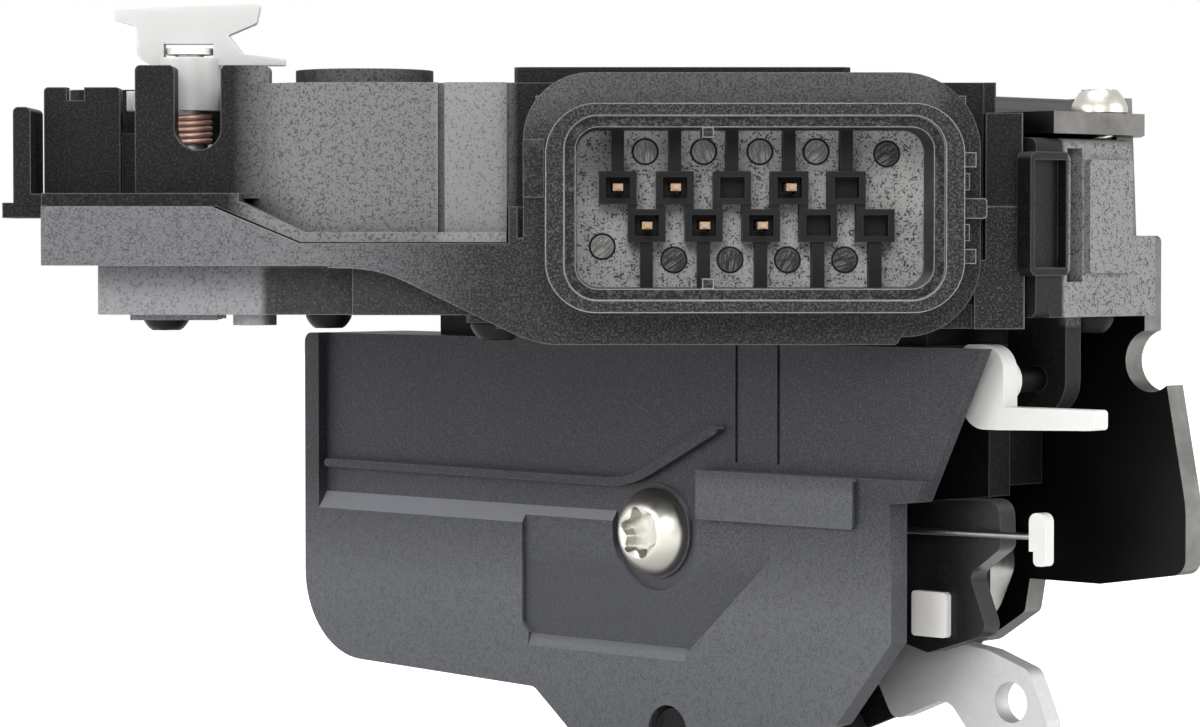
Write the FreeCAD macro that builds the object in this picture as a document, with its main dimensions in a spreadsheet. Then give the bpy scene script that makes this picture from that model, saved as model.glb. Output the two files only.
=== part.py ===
import FreeCAD, Part
import math
import os
import Sketcher

# Car door lock. The actuator box lies flat with its connector in front.
# The latch leg stands under it, turned 45 degrees about the vertical.
# Row frame in mm: X along the connector's long side, Y away from the mouth, Z up to the car's inside.
# The latch leg has its own axes: s along the leg, w through it towards the door skin, z up.

SIZES = {
    # stock and clearances
    "moulded_wall": 2.0,
    "run_gap": 0.06,
    "soft_gap": 0.3,
    "slip_gap": 0.1,
    "steel_thick": 2.5,
    "sheet_thick": 2.0,
    # connector
    "shroud_wide": 36.8,
    "shroud_tall": 18.4,
    "shroud_corner": 4.5,
    "mouth_wide": 31.5,
    "mouth_tall": 14.2,
    "mouth_corner": 2.0,
    "socket_deep": 12.0,
    "flange_front": 7.4,
    "flange_thick": 2.5,
    "flange_half_wide": 20.5,
    "flange_half_tall": 12.2,
    "cell_pitch": 5.15,
    "top_row_x": -12.0,
    "top_row_z": 1.9,
    "low_row_x": -9.4,
    "low_row_z": -1.5,
    "cell_wide": 3.4,
    "cell_tall": 2.95,
    "cell_hole_wide": 2.2,
    "cell_hole_tall": 1.9,
    "cell_front": 8.8,
    "cell_rib": 1.15,
    "pin_wide": 0.9,
    "pin_tall": 0.64,
    "pin_front": 5.2,
    # actuator box
    "box_left": -63.9,
    "box_back": 74.0,
    "box_floor": -9.6,
    "parting": 0.2,
    "cover_top": 11.4,
    "apron_low": -12.2,
    "box_edge_w": 23.0,
    # cable end
    "cable_x": -50.2,
    "cable_slot_wide": 4.2,
    "cable_slot_low": 5.4,
    "bracket_top": 13.1,
    "inside_pin_x": -51.8,
    "inside_pin_y": 21.5,
    "inside_pin_r": 1.3,
    # drive
    "wheel_x": -35.5,
    "wheel_y": 21.5,
    "wheel_r": 8.0,
    "wheel_low": -3.0,
    "wheel_tall": 6.0,
    "wheel_teeth": 36.0,
    "wheel_axle_r": 1.5,
    "motor_w": 1.1,
    "motor_z": 0.0,
    "motor_r": 7.7,
    "motor_flat": 6.0,
    "motor_start": -49.5,
    "motor_long": 24.5,
    "shaft_r": 1.0,
    "worm_r": 2.7,
    "worm_core_r": 1.9,
    "worm_long": 12.6,
    # latch leg layers along w
    "cover_face": 19.0,
    "cover_thick": 2.5,
    "cover_recess": 1.2,
    "lock_layer": 23.2,
    "lock_s": 6.6,
    "lock_z": -15.6,
    "lock_pin_r": 1.2,
    "lifter_layer": 25.9,
    "outer_lever_layer": 28.5,
    "inner_wall": 31.1,
    "support_layer": 32.8,
    "support_thick": 1.2,
    "claw_layer": 35.4,
    "claw_thick": 4.0,
    "plate_face": 41.0,
    # latch leg outline
    "leg_left": -82.6,
    "leg_top": -12.6,
    "leg_low": -46.5,
    "foot_low": -56.5,
    "block_top": 7.9,
    "flange_up": 10.5,
    "end_face": 12.7,
    # claw and pawl
    "claw_s": -38.0,
    "claw_z": -17.0,
    "claw_pin_r": 4.0,
    "claw_rim": 19.0,
    "claw_reach": 22.0,
    "claw_open": 65.0,
    "claw_mouth": 11.0,
    "striker_arm": 16.0,
    "pawl_s": -8.5,
    "pawl_z": -33.5,
    "pawl_pin_r": 3.0,
    "striker_s": -22.0,
    "throat_wide": 13.0,
    "throat_low": -24.0,
    # fixings
    "torx_head_r": 4.25,
    "torx_head_tall": 2.4,
    "small_head_r": 2.4,
    "small_head_tall": 1.6,
    "small_screw_r": 1.25,
    "screw_r": 1.75,
    "cover_screw_s": -31.4,
    "cover_screw_z": -31.1,
    "foot_peg_s": -29.0,
    "foot_peg_z": -50.4,
    "foot_peg_r": 2.2,
    "door_thread_r": 2.5,
    "door_collar_r": 4.6,
    "rod_hole_r": 1.9,
    "rod_s": 5.8,
    "rod_z": -45.4,
}

document = FreeCAD.newDocument("door_lock")
sheet = document.addObject("Spreadsheet::Sheet", "Sizes")
for row, (name, value) in enumerate(SIZES.items(), 1):
    sheet.set("A%d" % row, name)
    sheet.set("B%d" % row, str(value))
    sheet.setAlias("B%d" % row, name)
document.recompute()


class Size:
    """A number together with the sheet formula that gives it."""

    def __init__(self, value, formula):
        self.value = value
        self.formula = formula

    def __add__(self, other):
        return joined(self, "+", other)

    def __radd__(self, other):
        return joined(other, "+", self)

    def __sub__(self, other):
        return joined(self, "-", other)

    def __rsub__(self, other):
        return joined(other, "-", self)

    def __mul__(self, other):
        return joined(self, "*", other)

    def __rmul__(self, other):
        return joined(other, "*", self)

    def __truediv__(self, other):
        return joined(self, "/", other)

    def __neg__(self):
        return joined(0, "-", self)


def number(size):
    return size.value if isinstance(size, Size) else float(size)


def formula(size):
    return size.formula if isinstance(size, Size) else "(%.6f)" % size


def joined(first, sign, second):
    a = number(first)
    b = number(second)
    value = {"+": a + b, "-": a - b, "*": a * b, "/": a / b if b else 0.0}[sign]
    return Size(value, "(%s %s %s)" % (formula(first), sign, formula(second)))


def turned_point(x, z, angle):
    """A point turned about the origin of its own sketch by a size in degrees."""
    value = math.radians(number(angle))
    across = Size(math.cos(value), "cos(%s * 1 deg)" % formula(angle))
    along = Size(math.sin(value), "sin(%s * 1 deg)" % formula(angle))
    return x * across - z * along, x * along + z * across


d = {name: Size(value, "Sizes." + name) for name, value in SIZES.items()}

LATCH_TURN = -45.0
ROOT_HALF = math.sqrt(0.5)
PLANES = {"flat": "XY_Plane", "front": "XZ_Plane", "side": "YZ_Plane"}
NODES = []
FEATURES = []


def new_body(name, leg=False):
    """A sub-part. One on the latch leg is turned into the leg's axes."""
    body = document.addObject("PartDesign::Body", name)
    body.Label = name
    body.AllowCompound = True
    turn = FreeCAD.Rotation(FreeCAD.Vector(0, 0, 1), LATCH_TURN if leg else 0.0)
    body.Placement = FreeCAD.Placement(FreeCAD.Vector(), turn)
    NODES.append(body)
    return body


def bound(target, path, size):
    if isinstance(size, Size):
        target.setExpression(path, size.formula)


def new_sketch(body, view, shift=(0, 0), level=0):
    """A sketch on one of the body's own planes, moved along it by shift and off it by level."""
    count = len([item for item in body.Group if "Sketch" in item.TypeId]) + 1
    sketch = body.newObject("Sketcher::SketchObject", "%s_sketch_%d" % (body.Label, count))
    support = [item for item in body.Origin.OriginFeatures if item.Role == PLANES[view]][0]
    sketch.AttachmentSupport = [(support, "")]
    sketch.MapMode = "FlatFace"
    height = -level if view == "front" else level
    base = FreeCAD.Vector(number(shift[0]), number(shift[1]), number(height))
    sketch.AttachmentOffset = FreeCAD.Placement(base, FreeCAD.Rotation())
    for axis, size in zip("xyz", (shift[0], shift[1], height)):
        bound(sketch, "AttachmentOffset.Base." + axis, size)
    return sketch


def fix_point(sketch, item, end, x, y):
    for kind, size in (("DistanceX", x), ("DistanceY", y)):
        index = sketch.addConstraint(Sketcher.Constraint(kind, -1, 1, item, end, number(size)))
        bound(sketch, "Constraints[%d]" % index, size)


def draw_disc(sketch, x, y, radius):
    circle = Part.Circle(FreeCAD.Vector(number(x), number(y), 0), FreeCAD.Vector(0, 0, 1), number(radius))
    item = sketch.addGeometry(circle, False)
    index = sketch.addConstraint(Sketcher.Constraint("Radius", item, number(radius)))
    bound(sketch, "Constraints[%d]" % index, radius)
    fix_point(sketch, item, 3, x, y)


def draw_outline(sketch, corners):
    """A closed outline. Each corner is x, y and, where it is rounded, its radius."""
    count = len(corners)
    points = [FreeCAD.Vector(number(c[0]), number(c[1]), 0) for c in corners]
    radii = [number(c[2]) if len(c) > 2 else 0.0 for c in corners]
    starts = []
    ends = []
    arcs = {}
    for i in range(count):
        here = points[i]
        back = (points[i - 1] - here).normalize()
        ahead = (points[(i + 1) % count] - here).normalize()
        if not radii[i]:
            starts.append(here)
            ends.append(here)
            continue
        half = math.acos(max(-1.0, min(1.0, back.dot(ahead)))) / 2
        run = radii[i] / math.tan(half)
        centre = here + (back + ahead).normalize() * (radii[i] / math.sin(half))
        starts.append(here + back * run)
        ends.append(here + ahead * run)
        arcs[i] = (centre, back.cross(ahead).z < 0)
    first = sketch.GeometryCount
    lines = [Part.LineSegment(ends[i], starts[(i + 1) % count]) for i in range(count)]
    sketch.addGeometry(lines, False)
    for i in range(count):
        before = first + (i - 1) % count
        after = first + i
        if i not in arcs:
            sketch.addConstraint(Sketcher.Constraint("Coincident", before, 2, after, 1))
            fix_point(sketch, after, 1, corners[i][0], corners[i][1])
            continue
        centre, left = arcs[i]
        low, high = (starts[i], ends[i]) if left else (ends[i], starts[i])
        angle_a = math.atan2(low.y - centre.y, low.x - centre.x)
        angle_b = math.atan2(high.y - centre.y, high.x - centre.x)
        if angle_b < angle_a:
            angle_b += 2 * math.pi
        circle = Part.Circle(centre, FreeCAD.Vector(0, 0, 1), radii[i])
        arc = sketch.addGeometry(Part.ArcOfCircle(circle, angle_a, angle_b), False)
        enter, leave = (1, 2) if left else (2, 1)
        sketch.addConstraint(Sketcher.Constraint("Tangent", before, 2, arc, enter))
        sketch.addConstraint(Sketcher.Constraint("Tangent", arc, leave, after, 1))
        index = sketch.addConstraint(Sketcher.Constraint("Radius", arc, radii[i]))
        bound(sketch, "Constraints[%d]" % index, corners[i][2])
        corner = sketch.addGeometry(Part.Point(points[i]), True)
        fix_point(sketch, corner, 1, corners[i][0], corners[i][1])
        sketch.addConstraint(Sketcher.Constraint("PointOnObject", corner, 1, before))
        sketch.addConstraint(Sketcher.Constraint("PointOnObject", corner, 1, after))


def draw(sketch, shapes):
    for shape in shapes:
        if shape[0] == "disc":
            draw_disc(sketch, *shape[1:])
        elif shape[0] == "box":
            left, right, low, high = shape[1:5]
            radius = shape[5:6]
            draw_outline(sketch, [(left, low) + radius, (right, low) + radius,
                                  (right, high) + radius, (left, high) + radius])
        else:
            draw_outline(sketch, shape[1])


def pad(body, view, low, high, *shapes):
    sketch = new_sketch(body, view, level=low)
    draw(sketch, shapes)
    feature = body.newObject("PartDesign::Pad", "%s_pad_%d" % (body.Label, len(body.Group)))
    feature.Profile = sketch
    feature.Length = number(high - low)
    bound(feature, "Length", high - low)
    feature.Reversed = view == "front"
    FEATURES.append((body, feature, True))
    return feature


def cut(body, view, low, high, *shapes):
    sketch = new_sketch(body, view, level=low)
    draw(sketch, shapes)
    feature = body.newObject("PartDesign::Pocket", "%s_cut_%d" % (body.Label, len(body.Group)))
    feature.Profile = sketch
    feature.Length = number(high - low)
    bound(feature, "Length", high - low)
    feature.Reversed = view != "front"
    FEATURES.append((body, feature, False))
    return feature


def turn(body, axis, at, profile):
    """A turned solid. The profile is distance along the axis, radius and an optional rounding."""
    if axis == "up":
        sketch = new_sketch(body, "front", (at[0], 0), at[1])
        draw_outline(sketch, [(c[1], c[0]) + tuple(c[2:]) for c in profile])
        reference = "V_Axis"
    elif axis == "deep":
        sketch = new_sketch(body, "side", (0, at[1]), at[0])
        draw_outline(sketch, profile)
        reference = "H_Axis"
    else:
        sketch = new_sketch(body, "front", (0, at[1]), at[0])
        draw_outline(sketch, profile)
        reference = "H_Axis"
    feature = body.newObject("PartDesign::Revolution", "%s_turn_%d" % (body.Label, len(body.Group)))
    feature.Profile = sketch
    feature.ReferenceAxis = (sketch, [reference])
    feature.Angle = 360.0
    FEATURES.append((body, feature, True))
    return feature


def coil_profile(start, inner, wire, pitch, turns):
    """Half section of a close-wound coil: a sleeve with one ridge for each turn of the wire."""
    points = [(start, inner + 0.0), (start, inner + wire * 0.4)]
    for number_of_turn in range(turns):
        left_foot = start + pitch * number_of_turn
        points += [(left_foot + pitch * 0.5, inner + wire), (left_foot + pitch, inner + wire * 0.4)]
    return points + [(start + pitch * turns, inner + 0.0)]


def row_of(body, features, view_axis, step, count, back=False):
    """The same features again along one of the body's own axes."""
    feature = body.newObject("PartDesign::LinearPattern", "%s_row_%d" % (body.Label, len(body.Group)))
    feature.Originals = features
    line = [item for item in body.Origin.OriginFeatures if item.Role == view_axis + "_Axis"][0]
    feature.Direction = (line, [""])
    feature.Length = number(step * (count - 1))
    bound(feature, "Length", step * (count - 1))
    feature.Occurrences = count
    feature.Reversed = back
    body.Tip = feature
    FEATURES.append((body, feature, None))
    return feature


def ring_of(body, features, count):
    """The same features again round the body's own upright axis."""
    feature = body.newObject("PartDesign::PolarPattern", "%s_ring_%d" % (body.Label, len(body.Group)))
    feature.Originals = features
    line = [item for item in body.Origin.OriginFeatures if item.Role == "Z_Axis"][0]
    feature.Axis = (line, [""])
    feature.Angle = 360.0
    feature.Occurrences = count
    body.Tip = feature
    FEATURES.append((body, feature, None))
    return feature


def leg_line(w, y):
    """The X at which a wall of constant w crosses a given Y."""
    return w * math.sqrt(2.0) - y


# Connector socket: one glass-filled moulding of shroud, floor, latch ramp and a thin collar.
# The collar is trapped between the base's flange and the box's front wall.
socket_back = d["socket_deep"] + 1.6
shroud_half_x = d["shroud_wide"] / 2
shroud_half_z = d["shroud_tall"] / 2
mouth_half_x = d["mouth_wide"] / 2
mouth_half_z = d["mouth_tall"] / 2
flange_x = d["flange_half_wide"]
flange_z = d["flange_half_tall"]
flange_back = d["flange_front"] + d["flange_thick"]

socket = new_body("connector_socket")
collar = 1.0
pad(socket, "front", flange_back + d["slip_gap"], flange_back + 0.5 - d["slip_gap"],
    ("box", -shroud_half_x - collar, shroud_half_x + collar, -shroud_half_z - collar, shroud_half_z + collar))
pad(socket, "front", 0, socket_back,
    ("box", -shroud_half_x, shroud_half_x, -shroud_half_z, shroud_half_z, d["shroud_corner"]))
cut(socket, "front", 0, d["socket_deep"],
    ("box", -mouth_half_x, mouth_half_x, -mouth_half_z, mouth_half_z, d["mouth_corner"]))
cut(socket, "front", 0, 0.9,
    ("box", -mouth_half_x - 1.0, mouth_half_x + 1.0, -mouth_half_z - 1.0, mouth_half_z + 1.0,
     d["mouth_corner"] + 1.0))
# Holes in the floor for the terminal pins.
cut(socket, "front", d["socket_deep"] - 0.5, socket_back + 0.5,
    *[("box", x - 0.9, x + 0.9, z - 0.75, z + 0.75)
      for x, z in [(d["top_row_x"] + d["cell_pitch"] * i, d["top_row_z"]) for i in (0, 1, 3)]
      + [(d["low_row_x"] + d["cell_pitch"] * i, d["low_row_z"]) for i in (0, 1, 2)]])
# Latch ramp on the right side: two stop blocks, two guide bars and the centre tab.
pad(socket, "front", 1.2, d["flange_front"],
    ("box", shroud_half_x - 0.4, shroud_half_x + 1.1, 3.6, 4.9),
    ("box", shroud_half_x - 0.4, shroud_half_x + 1.1, -4.9, -3.6))
pad(socket, "front", 3.0, d["flange_front"],
    ("box", shroud_half_x - 0.4, shroud_half_x + 0.7, 1.6, 3.1),
    ("box", shroud_half_x - 0.4, shroud_half_x + 0.7, -2.9, -1.4))
pad(socket, "front", 4.6, d["flange_front"],
    ("box", shroud_half_x - 0.4, shroud_half_x + 2.4, -0.9, 0.9, 0.3))
# Keying rib inside the upper wall and one inside the lower wall.
pad(socket, "front", 1.0, d["cell_front"],
    ("box", -4.6, -3.6, mouth_half_z - 0.9, mouth_half_z + 0.2),
    ("box", -4.6, -3.6, -mouth_half_z - 0.2, -mouth_half_z + 0.9))

# Terminal carrier: ten cells in two staggered rows, joined to each other and to the walls by ribs.
carrier = new_body("terminal_carrier")
half_w = d["cell_wide"] / 2
half_t = d["cell_tall"] / 2
rib = d["cell_rib"] / 2
rows = (("top", d["top_row_x"], d["top_row_z"]), ("low", d["low_row_x"], d["low_row_z"]))
for row, x0, z0 in rows:
    frame = pad(carrier, "front", d["cell_front"], d["socket_deep"],
                ("box", x0 - half_w, x0 + half_w, z0 - half_t, z0 + half_t))
    if row == "top":
        wing = pad(carrier, "front", d["cell_front"] + 0.5, d["socket_deep"],
                   ("box", x0 - rib, x0 + rib, z0 + half_t - 0.3, mouth_half_z))
    else:
        wing = pad(carrier, "front", d["cell_front"] + 0.5, d["socket_deep"],
                   ("box", x0 - rib, x0 + rib, -mouth_half_z, z0 - half_t + 0.3))
    row_of(carrier, [frame, wing], "X", d["cell_pitch"], 5)
    hole = cut(carrier, "front", d["cell_front"] - 0.2, d["socket_deep"] - 0.7,
               ("box", x0 - d["cell_hole_wide"] / 2, x0 + d["cell_hole_wide"] / 2,
                z0 - d["cell_hole_tall"] / 2, z0 + d["cell_hole_tall"] / 2))
    row_of(carrier, [hole], "X", d["cell_pitch"], 5)
# Corner links where a frame of one row meets its neighbour in the other row.
link_low = d["low_row_z"] + half_t - 0.1
link_high = d["top_row_z"] - half_t + 0.1
for start, count in ((d["low_row_x"] - half_w, 5), (d["top_row_x"] + d["cell_pitch"] - half_w, 4)):
    link = pad(carrier, "front", d["cell_front"] + 0.4, d["socket_deep"],
               ("box", start, start + 0.8, link_low, link_high))
    row_of(carrier, [link], "X", d["cell_pitch"], count)
filled = [(d["top_row_x"] + d["cell_pitch"] * i, d["top_row_z"]) for i in (0, 1, 3)]
filled = filled + [(d["low_row_x"] + d["cell_pitch"] * i, d["low_row_z"]) for i in (0, 1, 2)]
cut(carrier, "front", d["socket_deep"] - 1.0, d["socket_deep"] + 0.2,
    *[("box", x - 0.6, x + 0.6, z - 0.5, z + 0.5) for x, z in filled])

# Terminal pins: six flat tin-brass blades of one size, bent down behind the socket floor.
pins = new_body("terminal_pins")
pin_x = d["pin_wide"] / 2
pin_z = d["pin_tall"] / 2
pad(pins, "front", d["pin_front"], socket_back + 2.4,
    *[("box", x - pin_x, x + pin_x, z - pin_z, z + pin_z) for x, z in filled])
pad(pins, "front", d["pin_front"] - 0.5, d["pin_front"],
    *[("box", x - pin_x * 0.6, x + pin_x * 0.6, z - pin_z * 0.6, z + pin_z * 0.6) for x, z in filled])

# Lead frame: an insert of stamped brass strips that carries the current from the pins to the motor.
frame_low = d["box_floor"] + d["moulded_wall"]
leads = new_body("lead_frame")
pad(leads, "flat", frame_low, frame_low + 0.8,
    ("outline", [(-15.0, socket_back + 2.4), (5.0, socket_back + 2.4), (5.0, 18.4), (-11.0, 18.4),
                 (-16.5, 30.0), (-27.5, 41.5), (-28.8, 40.2), (-18.0, 29.2), (-13.2, 18.4), (-15.0, 18.4)]))
pad(leads, "flat", frame_low + 0.8, d["top_row_z"] + pin_z,
    *[("box", x - 0.5, x + 0.5, socket_back + 2.4, socket_back + 3.2) for x, z in filled[:3]])
pad(leads, "flat", frame_low + 0.8, d["low_row_z"] + pin_z,
    *[("box", x - 0.5, x + 0.5, socket_back + 2.4, socket_back + 3.2) for x, z in filled[3:]])


def leg_xy(s, w):
    """A point of the latch leg's plan given in the row frame."""
    return (s + w) * ROOT_HALF, (w - s) * ROOT_HALF


def leg_box(s_low, s_high, w_low, w_high):
    return ("outline", [leg_xy(s_low, w_low), leg_xy(s_high, w_low),
                        leg_xy(s_high, w_high), leg_xy(s_low, w_high)])


# Actuator base: a moulded tray with the connector's flange, screw posts, motor cradle and wheel boss.
wall = d["moulded_wall"]
left = d["box_left"]
front = d["flange_front"]
rear = d["box_back"]
floor_top = d["box_floor"] + wall
edge = d["box_edge_w"]
step_y = flange_back + 0.5
step_x = flange_x + 0.5
tail_y = rear - 3.5
block_front = front + 0.6
wheel_at = (d["wheel_x"], d["wheel_y"])
POSTS = ((-23.1, 17.0), (-58.0, 57.0), (-42.0, 66.0))

ledge_low = Size(-3.0, "(0 - 3.0)")
screw_seat = d["box_floor"] - 0.8
base = new_body("actuator_base")
pad(base, "flat", -5.1, d["parting"],
    ("outline", [(left, front, 1.5), (-step_x, front), (-step_x, step_y), (step_x, step_y),
                 (step_x, block_front), (leg_line(edge, block_front), block_front),
                 (leg_line(edge, tail_y), tail_y, 3.0), (-50.0, rear, 3.0), (left, rear - 12.0, 4.0)]))
pad(base, "flat", d["box_floor"], -5.1,
    ("outline", [(-59.5, 12.5, 2.0), (-36.0, 12.5), (-36.0, step_y), (leg_line(edge, step_y), step_y),
                 (leg_line(edge, tail_y), tail_y, 3.0), (-50.0, rear, 3.0), (-59.5, rear - 9.4, 3.0)]))
# The arm's front face sweeps down in one long curve to the flange.
pad(base, "front", front, step_y,
    ("outline", [(-38.0, -4.6), (-38.0, -5.3), (-33.4, -5.4, 12.0), (-step_x, -11.4), (-step_x, -4.6)]))
pad(base, "front", front, flange_back,
    ("outline", [(-step_x - 0.1, -11.4), (-18.4, -flange_z, 6.0), (13.0, -flange_z, 0.5), (13.4, -11.5),
                 (flange_x, -11.5, 6.8), (flange_x, flange_z, 7.0), (-flange_x, flange_z, 6.0), (-flange_x, -2.6),
                 (-step_x - 0.1, -2.6)]))
pad(base, "flat", -10.8, -4.6,
    ("outline", [(flange_x - 0.5, block_front), (leg_line(edge, block_front), block_front),
                 (leg_line(edge, step_y), step_y), (flange_x - 0.5, step_y)]))
pad(base, "flat", -10.8, -8.6,
    ("outline", [(-23.0, step_y - 0.6), (flange_x - 0.4, step_y - 0.6), (flange_x - 0.4, step_y),
                 (leg_line(edge, step_y), step_y), (leg_line(edge, step_y + 2.6), step_y + 2.6),
                 (-23.0, step_y + 2.6)]))
cut(base, "front", front - 0.1, flange_back + 0.1,
    ("box", -shroud_half_x - d["slip_gap"], shroud_half_x + d["slip_gap"], -shroud_half_z - d["slip_gap"],
     shroud_half_z + d["slip_gap"], d["shroud_corner"]))
cut(base, "front", flange_back, flange_back + 0.5,
    ("box", -shroud_half_x - collar - 0.1, shroud_half_x + collar + 0.1, -shroud_half_z - collar - 0.1,
     shroud_half_z + collar + 0.1))
# Tab on the flange's left edge.
pad(base, "front", front - 0.5, front + 0.2,
    ("box", -flange_x, -flange_x + 1.9, 1.0, 6.2))
cut(base, "flat", floor_top, d["parting"] + 0.1,
    ("outline", [(-57.5, 14.5, 1.0), (-34.5, 14.5), (-34.5, step_y + wall), (leg_line(edge - wall, step_y + wall),
                 step_y + wall), (leg_line(edge - wall, tail_y - 1.7), tail_y - 1.7, 2.0),
                 (-50.4, rear - 2.1, 2.0), (-57.5, rear - 9.4, 2.0)]))
cut(base, "flat", -3.1, d["parting"] + 0.1,
    ("outline", [(left + wall, front + wall, 1.0), (-23.0, front + wall), (-23.0, step_y + wall),
                 (leg_line(edge - wall, step_y + wall), step_y + wall),
                 (leg_line(edge - wall, tail_y - 1.7), tail_y - 1.7, 2.0), (-50.4, rear - 2.1, 2.0),
                 (left + wall, rear - 12.7, 3.0)]))
cut(base, "front", step_y - 0.2, socket_back + 0.5,
    ("box", -shroud_half_x - 0.2, shroud_half_x + 0.2, -shroud_half_z - 0.2, d["parting"] + 0.1))
# The lip of the cover dips into the base's front wall.
cut(base, "front", front - 0.1, step_y + 0.1,
    ("outline", [(-48.6, 0.4), (-48.4, d["parting"]), (-40.5, ledge_low - d["slip_gap"]),
                 (-21.8, ledge_low - d["slip_gap"]), (-21.8, 0.4)]))
cut(base, "flat", ledge_low - d["slip_gap"], d["parting"] + 0.1, ("box", -23.1, -21.8, step_y - 0.1, step_y + 2.0))
pad(base, "flat", floor_top - 0.5, -3.0, ("disc", POSTS[0][0], POSTS[0][1], 2.6))
pad(base, "flat", floor_top - 0.5, d["parting"], *[("disc", x, y, 3.0) for x, y in POSTS[1:]])
pad(base, "flat", screw_seat, d["box_floor"], *[("disc", x, y, d["small_head_r"] + 0.4) for x, y in POSTS])
pad(base, "flat", floor_top - 0.5, d["wheel_low"] - 0.4, ("disc", wheel_at[0], wheel_at[1], 3.4))
cut(base, "flat", floor_top, d["wheel_low"], ("disc", wheel_at[0], wheel_at[1], d["wheel_axle_r"]))
cut(base, "flat", screw_seat - 0.1, d["parting"] + 0.1,
    *[("disc", x, y, d["small_screw_r"]) for x, y in POSTS])
motor_low = d["motor_z"] - d["motor_flat"]
pad(base, "flat", floor_top - 0.5, motor_low,
    leg_box(d["motor_start"] - 5.0, d["motor_start"] - 3.4, d["motor_w"] - 6.0, d["motor_w"] + 6.0),
    leg_box(d["motor_start"] - 17.0, d["motor_start"] - 15.4, d["motor_w"] - 6.0, d["motor_w"] + 6.0))
# Open bearing at the worm's far end.
bearing_s = d["motor_start"] + 2.2 + d["worm_long"] + 0.5
pad(base, "flat", floor_top - 0.5, d["motor_z"] + 1.6,
    leg_box(bearing_s, bearing_s + 2.0, d["motor_w"] - 2.8, d["motor_w"] + 2.8))
cut(base, "flat", d["motor_z"] - d["shaft_r"] - d["run_gap"], d["motor_z"] + 1.8,
    leg_box(bearing_s - 0.2, bearing_s + 2.2, d["motor_w"] - d["shaft_r"] - d["run_gap"],
            d["motor_w"] + d["shaft_r"] + d["run_gap"]))
# Peg and rail marks under the left end.
pad(base, "flat", d["box_floor"] - 1.0, d["box_floor"], ("disc", -45.3, 16.0, 2.0))
pad(base, "flat", d["box_floor"] - 0.6, d["box_floor"], ("box", -57.0, -49.0, 18.0, 19.2),
    ("box", -57.0, -49.0, 22.0, 23.2), ("box", -57.0, -49.0, 26.0, 27.2))

# Actuator cover: the upper moulding with the curved wheel wall, the cable bracket and the end flap.
top = d["cover_top"]
ceiling = top - wall
gear_front = front + 2.0
cover = new_body("actuator_cover")
pad(cover, "flat", d["parting"], top,
    ("outline", [(left, 27.0, 1.5), (-46.0, 27.0), (-46.0, gear_front, 8.4), (-28.2, gear_front),
                 (-28.2, gear_front + 1.6), (-27.6, gear_front + 1.6), (-27.6, gear_front), (-22.0, gear_front),
                 (-22.0, step_y), (step_x, step_y), (step_x, block_front),
                 (leg_line(edge, block_front) - 0.2, block_front), (leg_line(edge, tail_y) - 0.2, tail_y, 3.0),
                 (-50.0, rear - 0.2, 3.0), (left, rear - 12.2, 4.0)]))
cut(cover, "flat", 8.6, top + 0.1,
    ("outline", [(step_x - 2.0, step_y - 0.2), (step_x - 2.0, front - 0.2), (27.0, front - 0.2),
                 (27.0, step_y - 0.2)]))
# The wheel wall reaches down past the parting, and a sloping ledge joins it to the base's front.
pad(cover, "flat", ledge_low, d["parting"] + 0.1,
    ("outline", [(-46.0, 18.4), (-46.0, gear_front, 8.4), (-28.2, gear_front), (-28.2, gear_front + 1.6),
                 (-27.6, gear_front + 1.6), (-27.6, gear_front), (-22.0, gear_front), (-22.0, step_y + 1.8),
                 (-44.0, step_y + 7.4)]))
pad(cover, "front", front + 0.3, 18.4,
    ("outline", [(-48.8, d["parting"] + 1.2), (-48.2, d["parting"] + 0.1), (-40.4, ledge_low), (-28.2, ledge_low),
                 (-28.2, ledge_low + 0.9), (-40.1, ledge_low + 0.9), (-47.6, d["parting"] + 1.2)]))
pad(cover, "front", front + 0.3, gear_front + 0.4,
    ("box", -28.4, -22.0, ledge_low, ledge_low + 0.9))
pad(cover, "flat", d["parting"], d["parting"] + 1.2, ("box", left + 0.2, -46.0, front + 0.3, 28.0))
pad(cover, "flat", top - 0.5, top + 1.5, ("disc", d["wheel_x"], d["wheel_y"], 6.4))
pad(cover, "flat", top - 0.5, top + 1.5,
    ("outline", [(-21.4, 12.6, 1.0), (9.2, 12.6, 1.0), (9.2, 21.0, 2.0), (-12.0, 42.0, 2.0), (-21.4, 42.0, 2.0)]))
cut(cover, "flat", ledge_low - 0.1, ceiling,
    ("outline", [(left + wall, 29.0), (-44.2, 29.0), (-44.2, gear_front + 1.8, 6.6), (-29.6, gear_front + 1.8, 3.6),
                 (-29.6, 15.4), (-20.0, 15.4), (-20.0, step_y + wall),
                 (leg_line(edge - wall, step_y + wall), step_y + wall),
                 (leg_line(edge - wall, tail_y - 1.7), tail_y - 1.7, 2.0), (-50.4, rear - 2.3, 2.0),
                 (left + wall, rear - 12.9, 3.0)]))
cut(cover, "front", step_y - 0.2, socket_back + 0.5,
    ("box", -shroud_half_x - 0.2, shroud_half_x + 0.2, d["parting"] - 0.1, shroud_half_z + 0.2))
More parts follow.
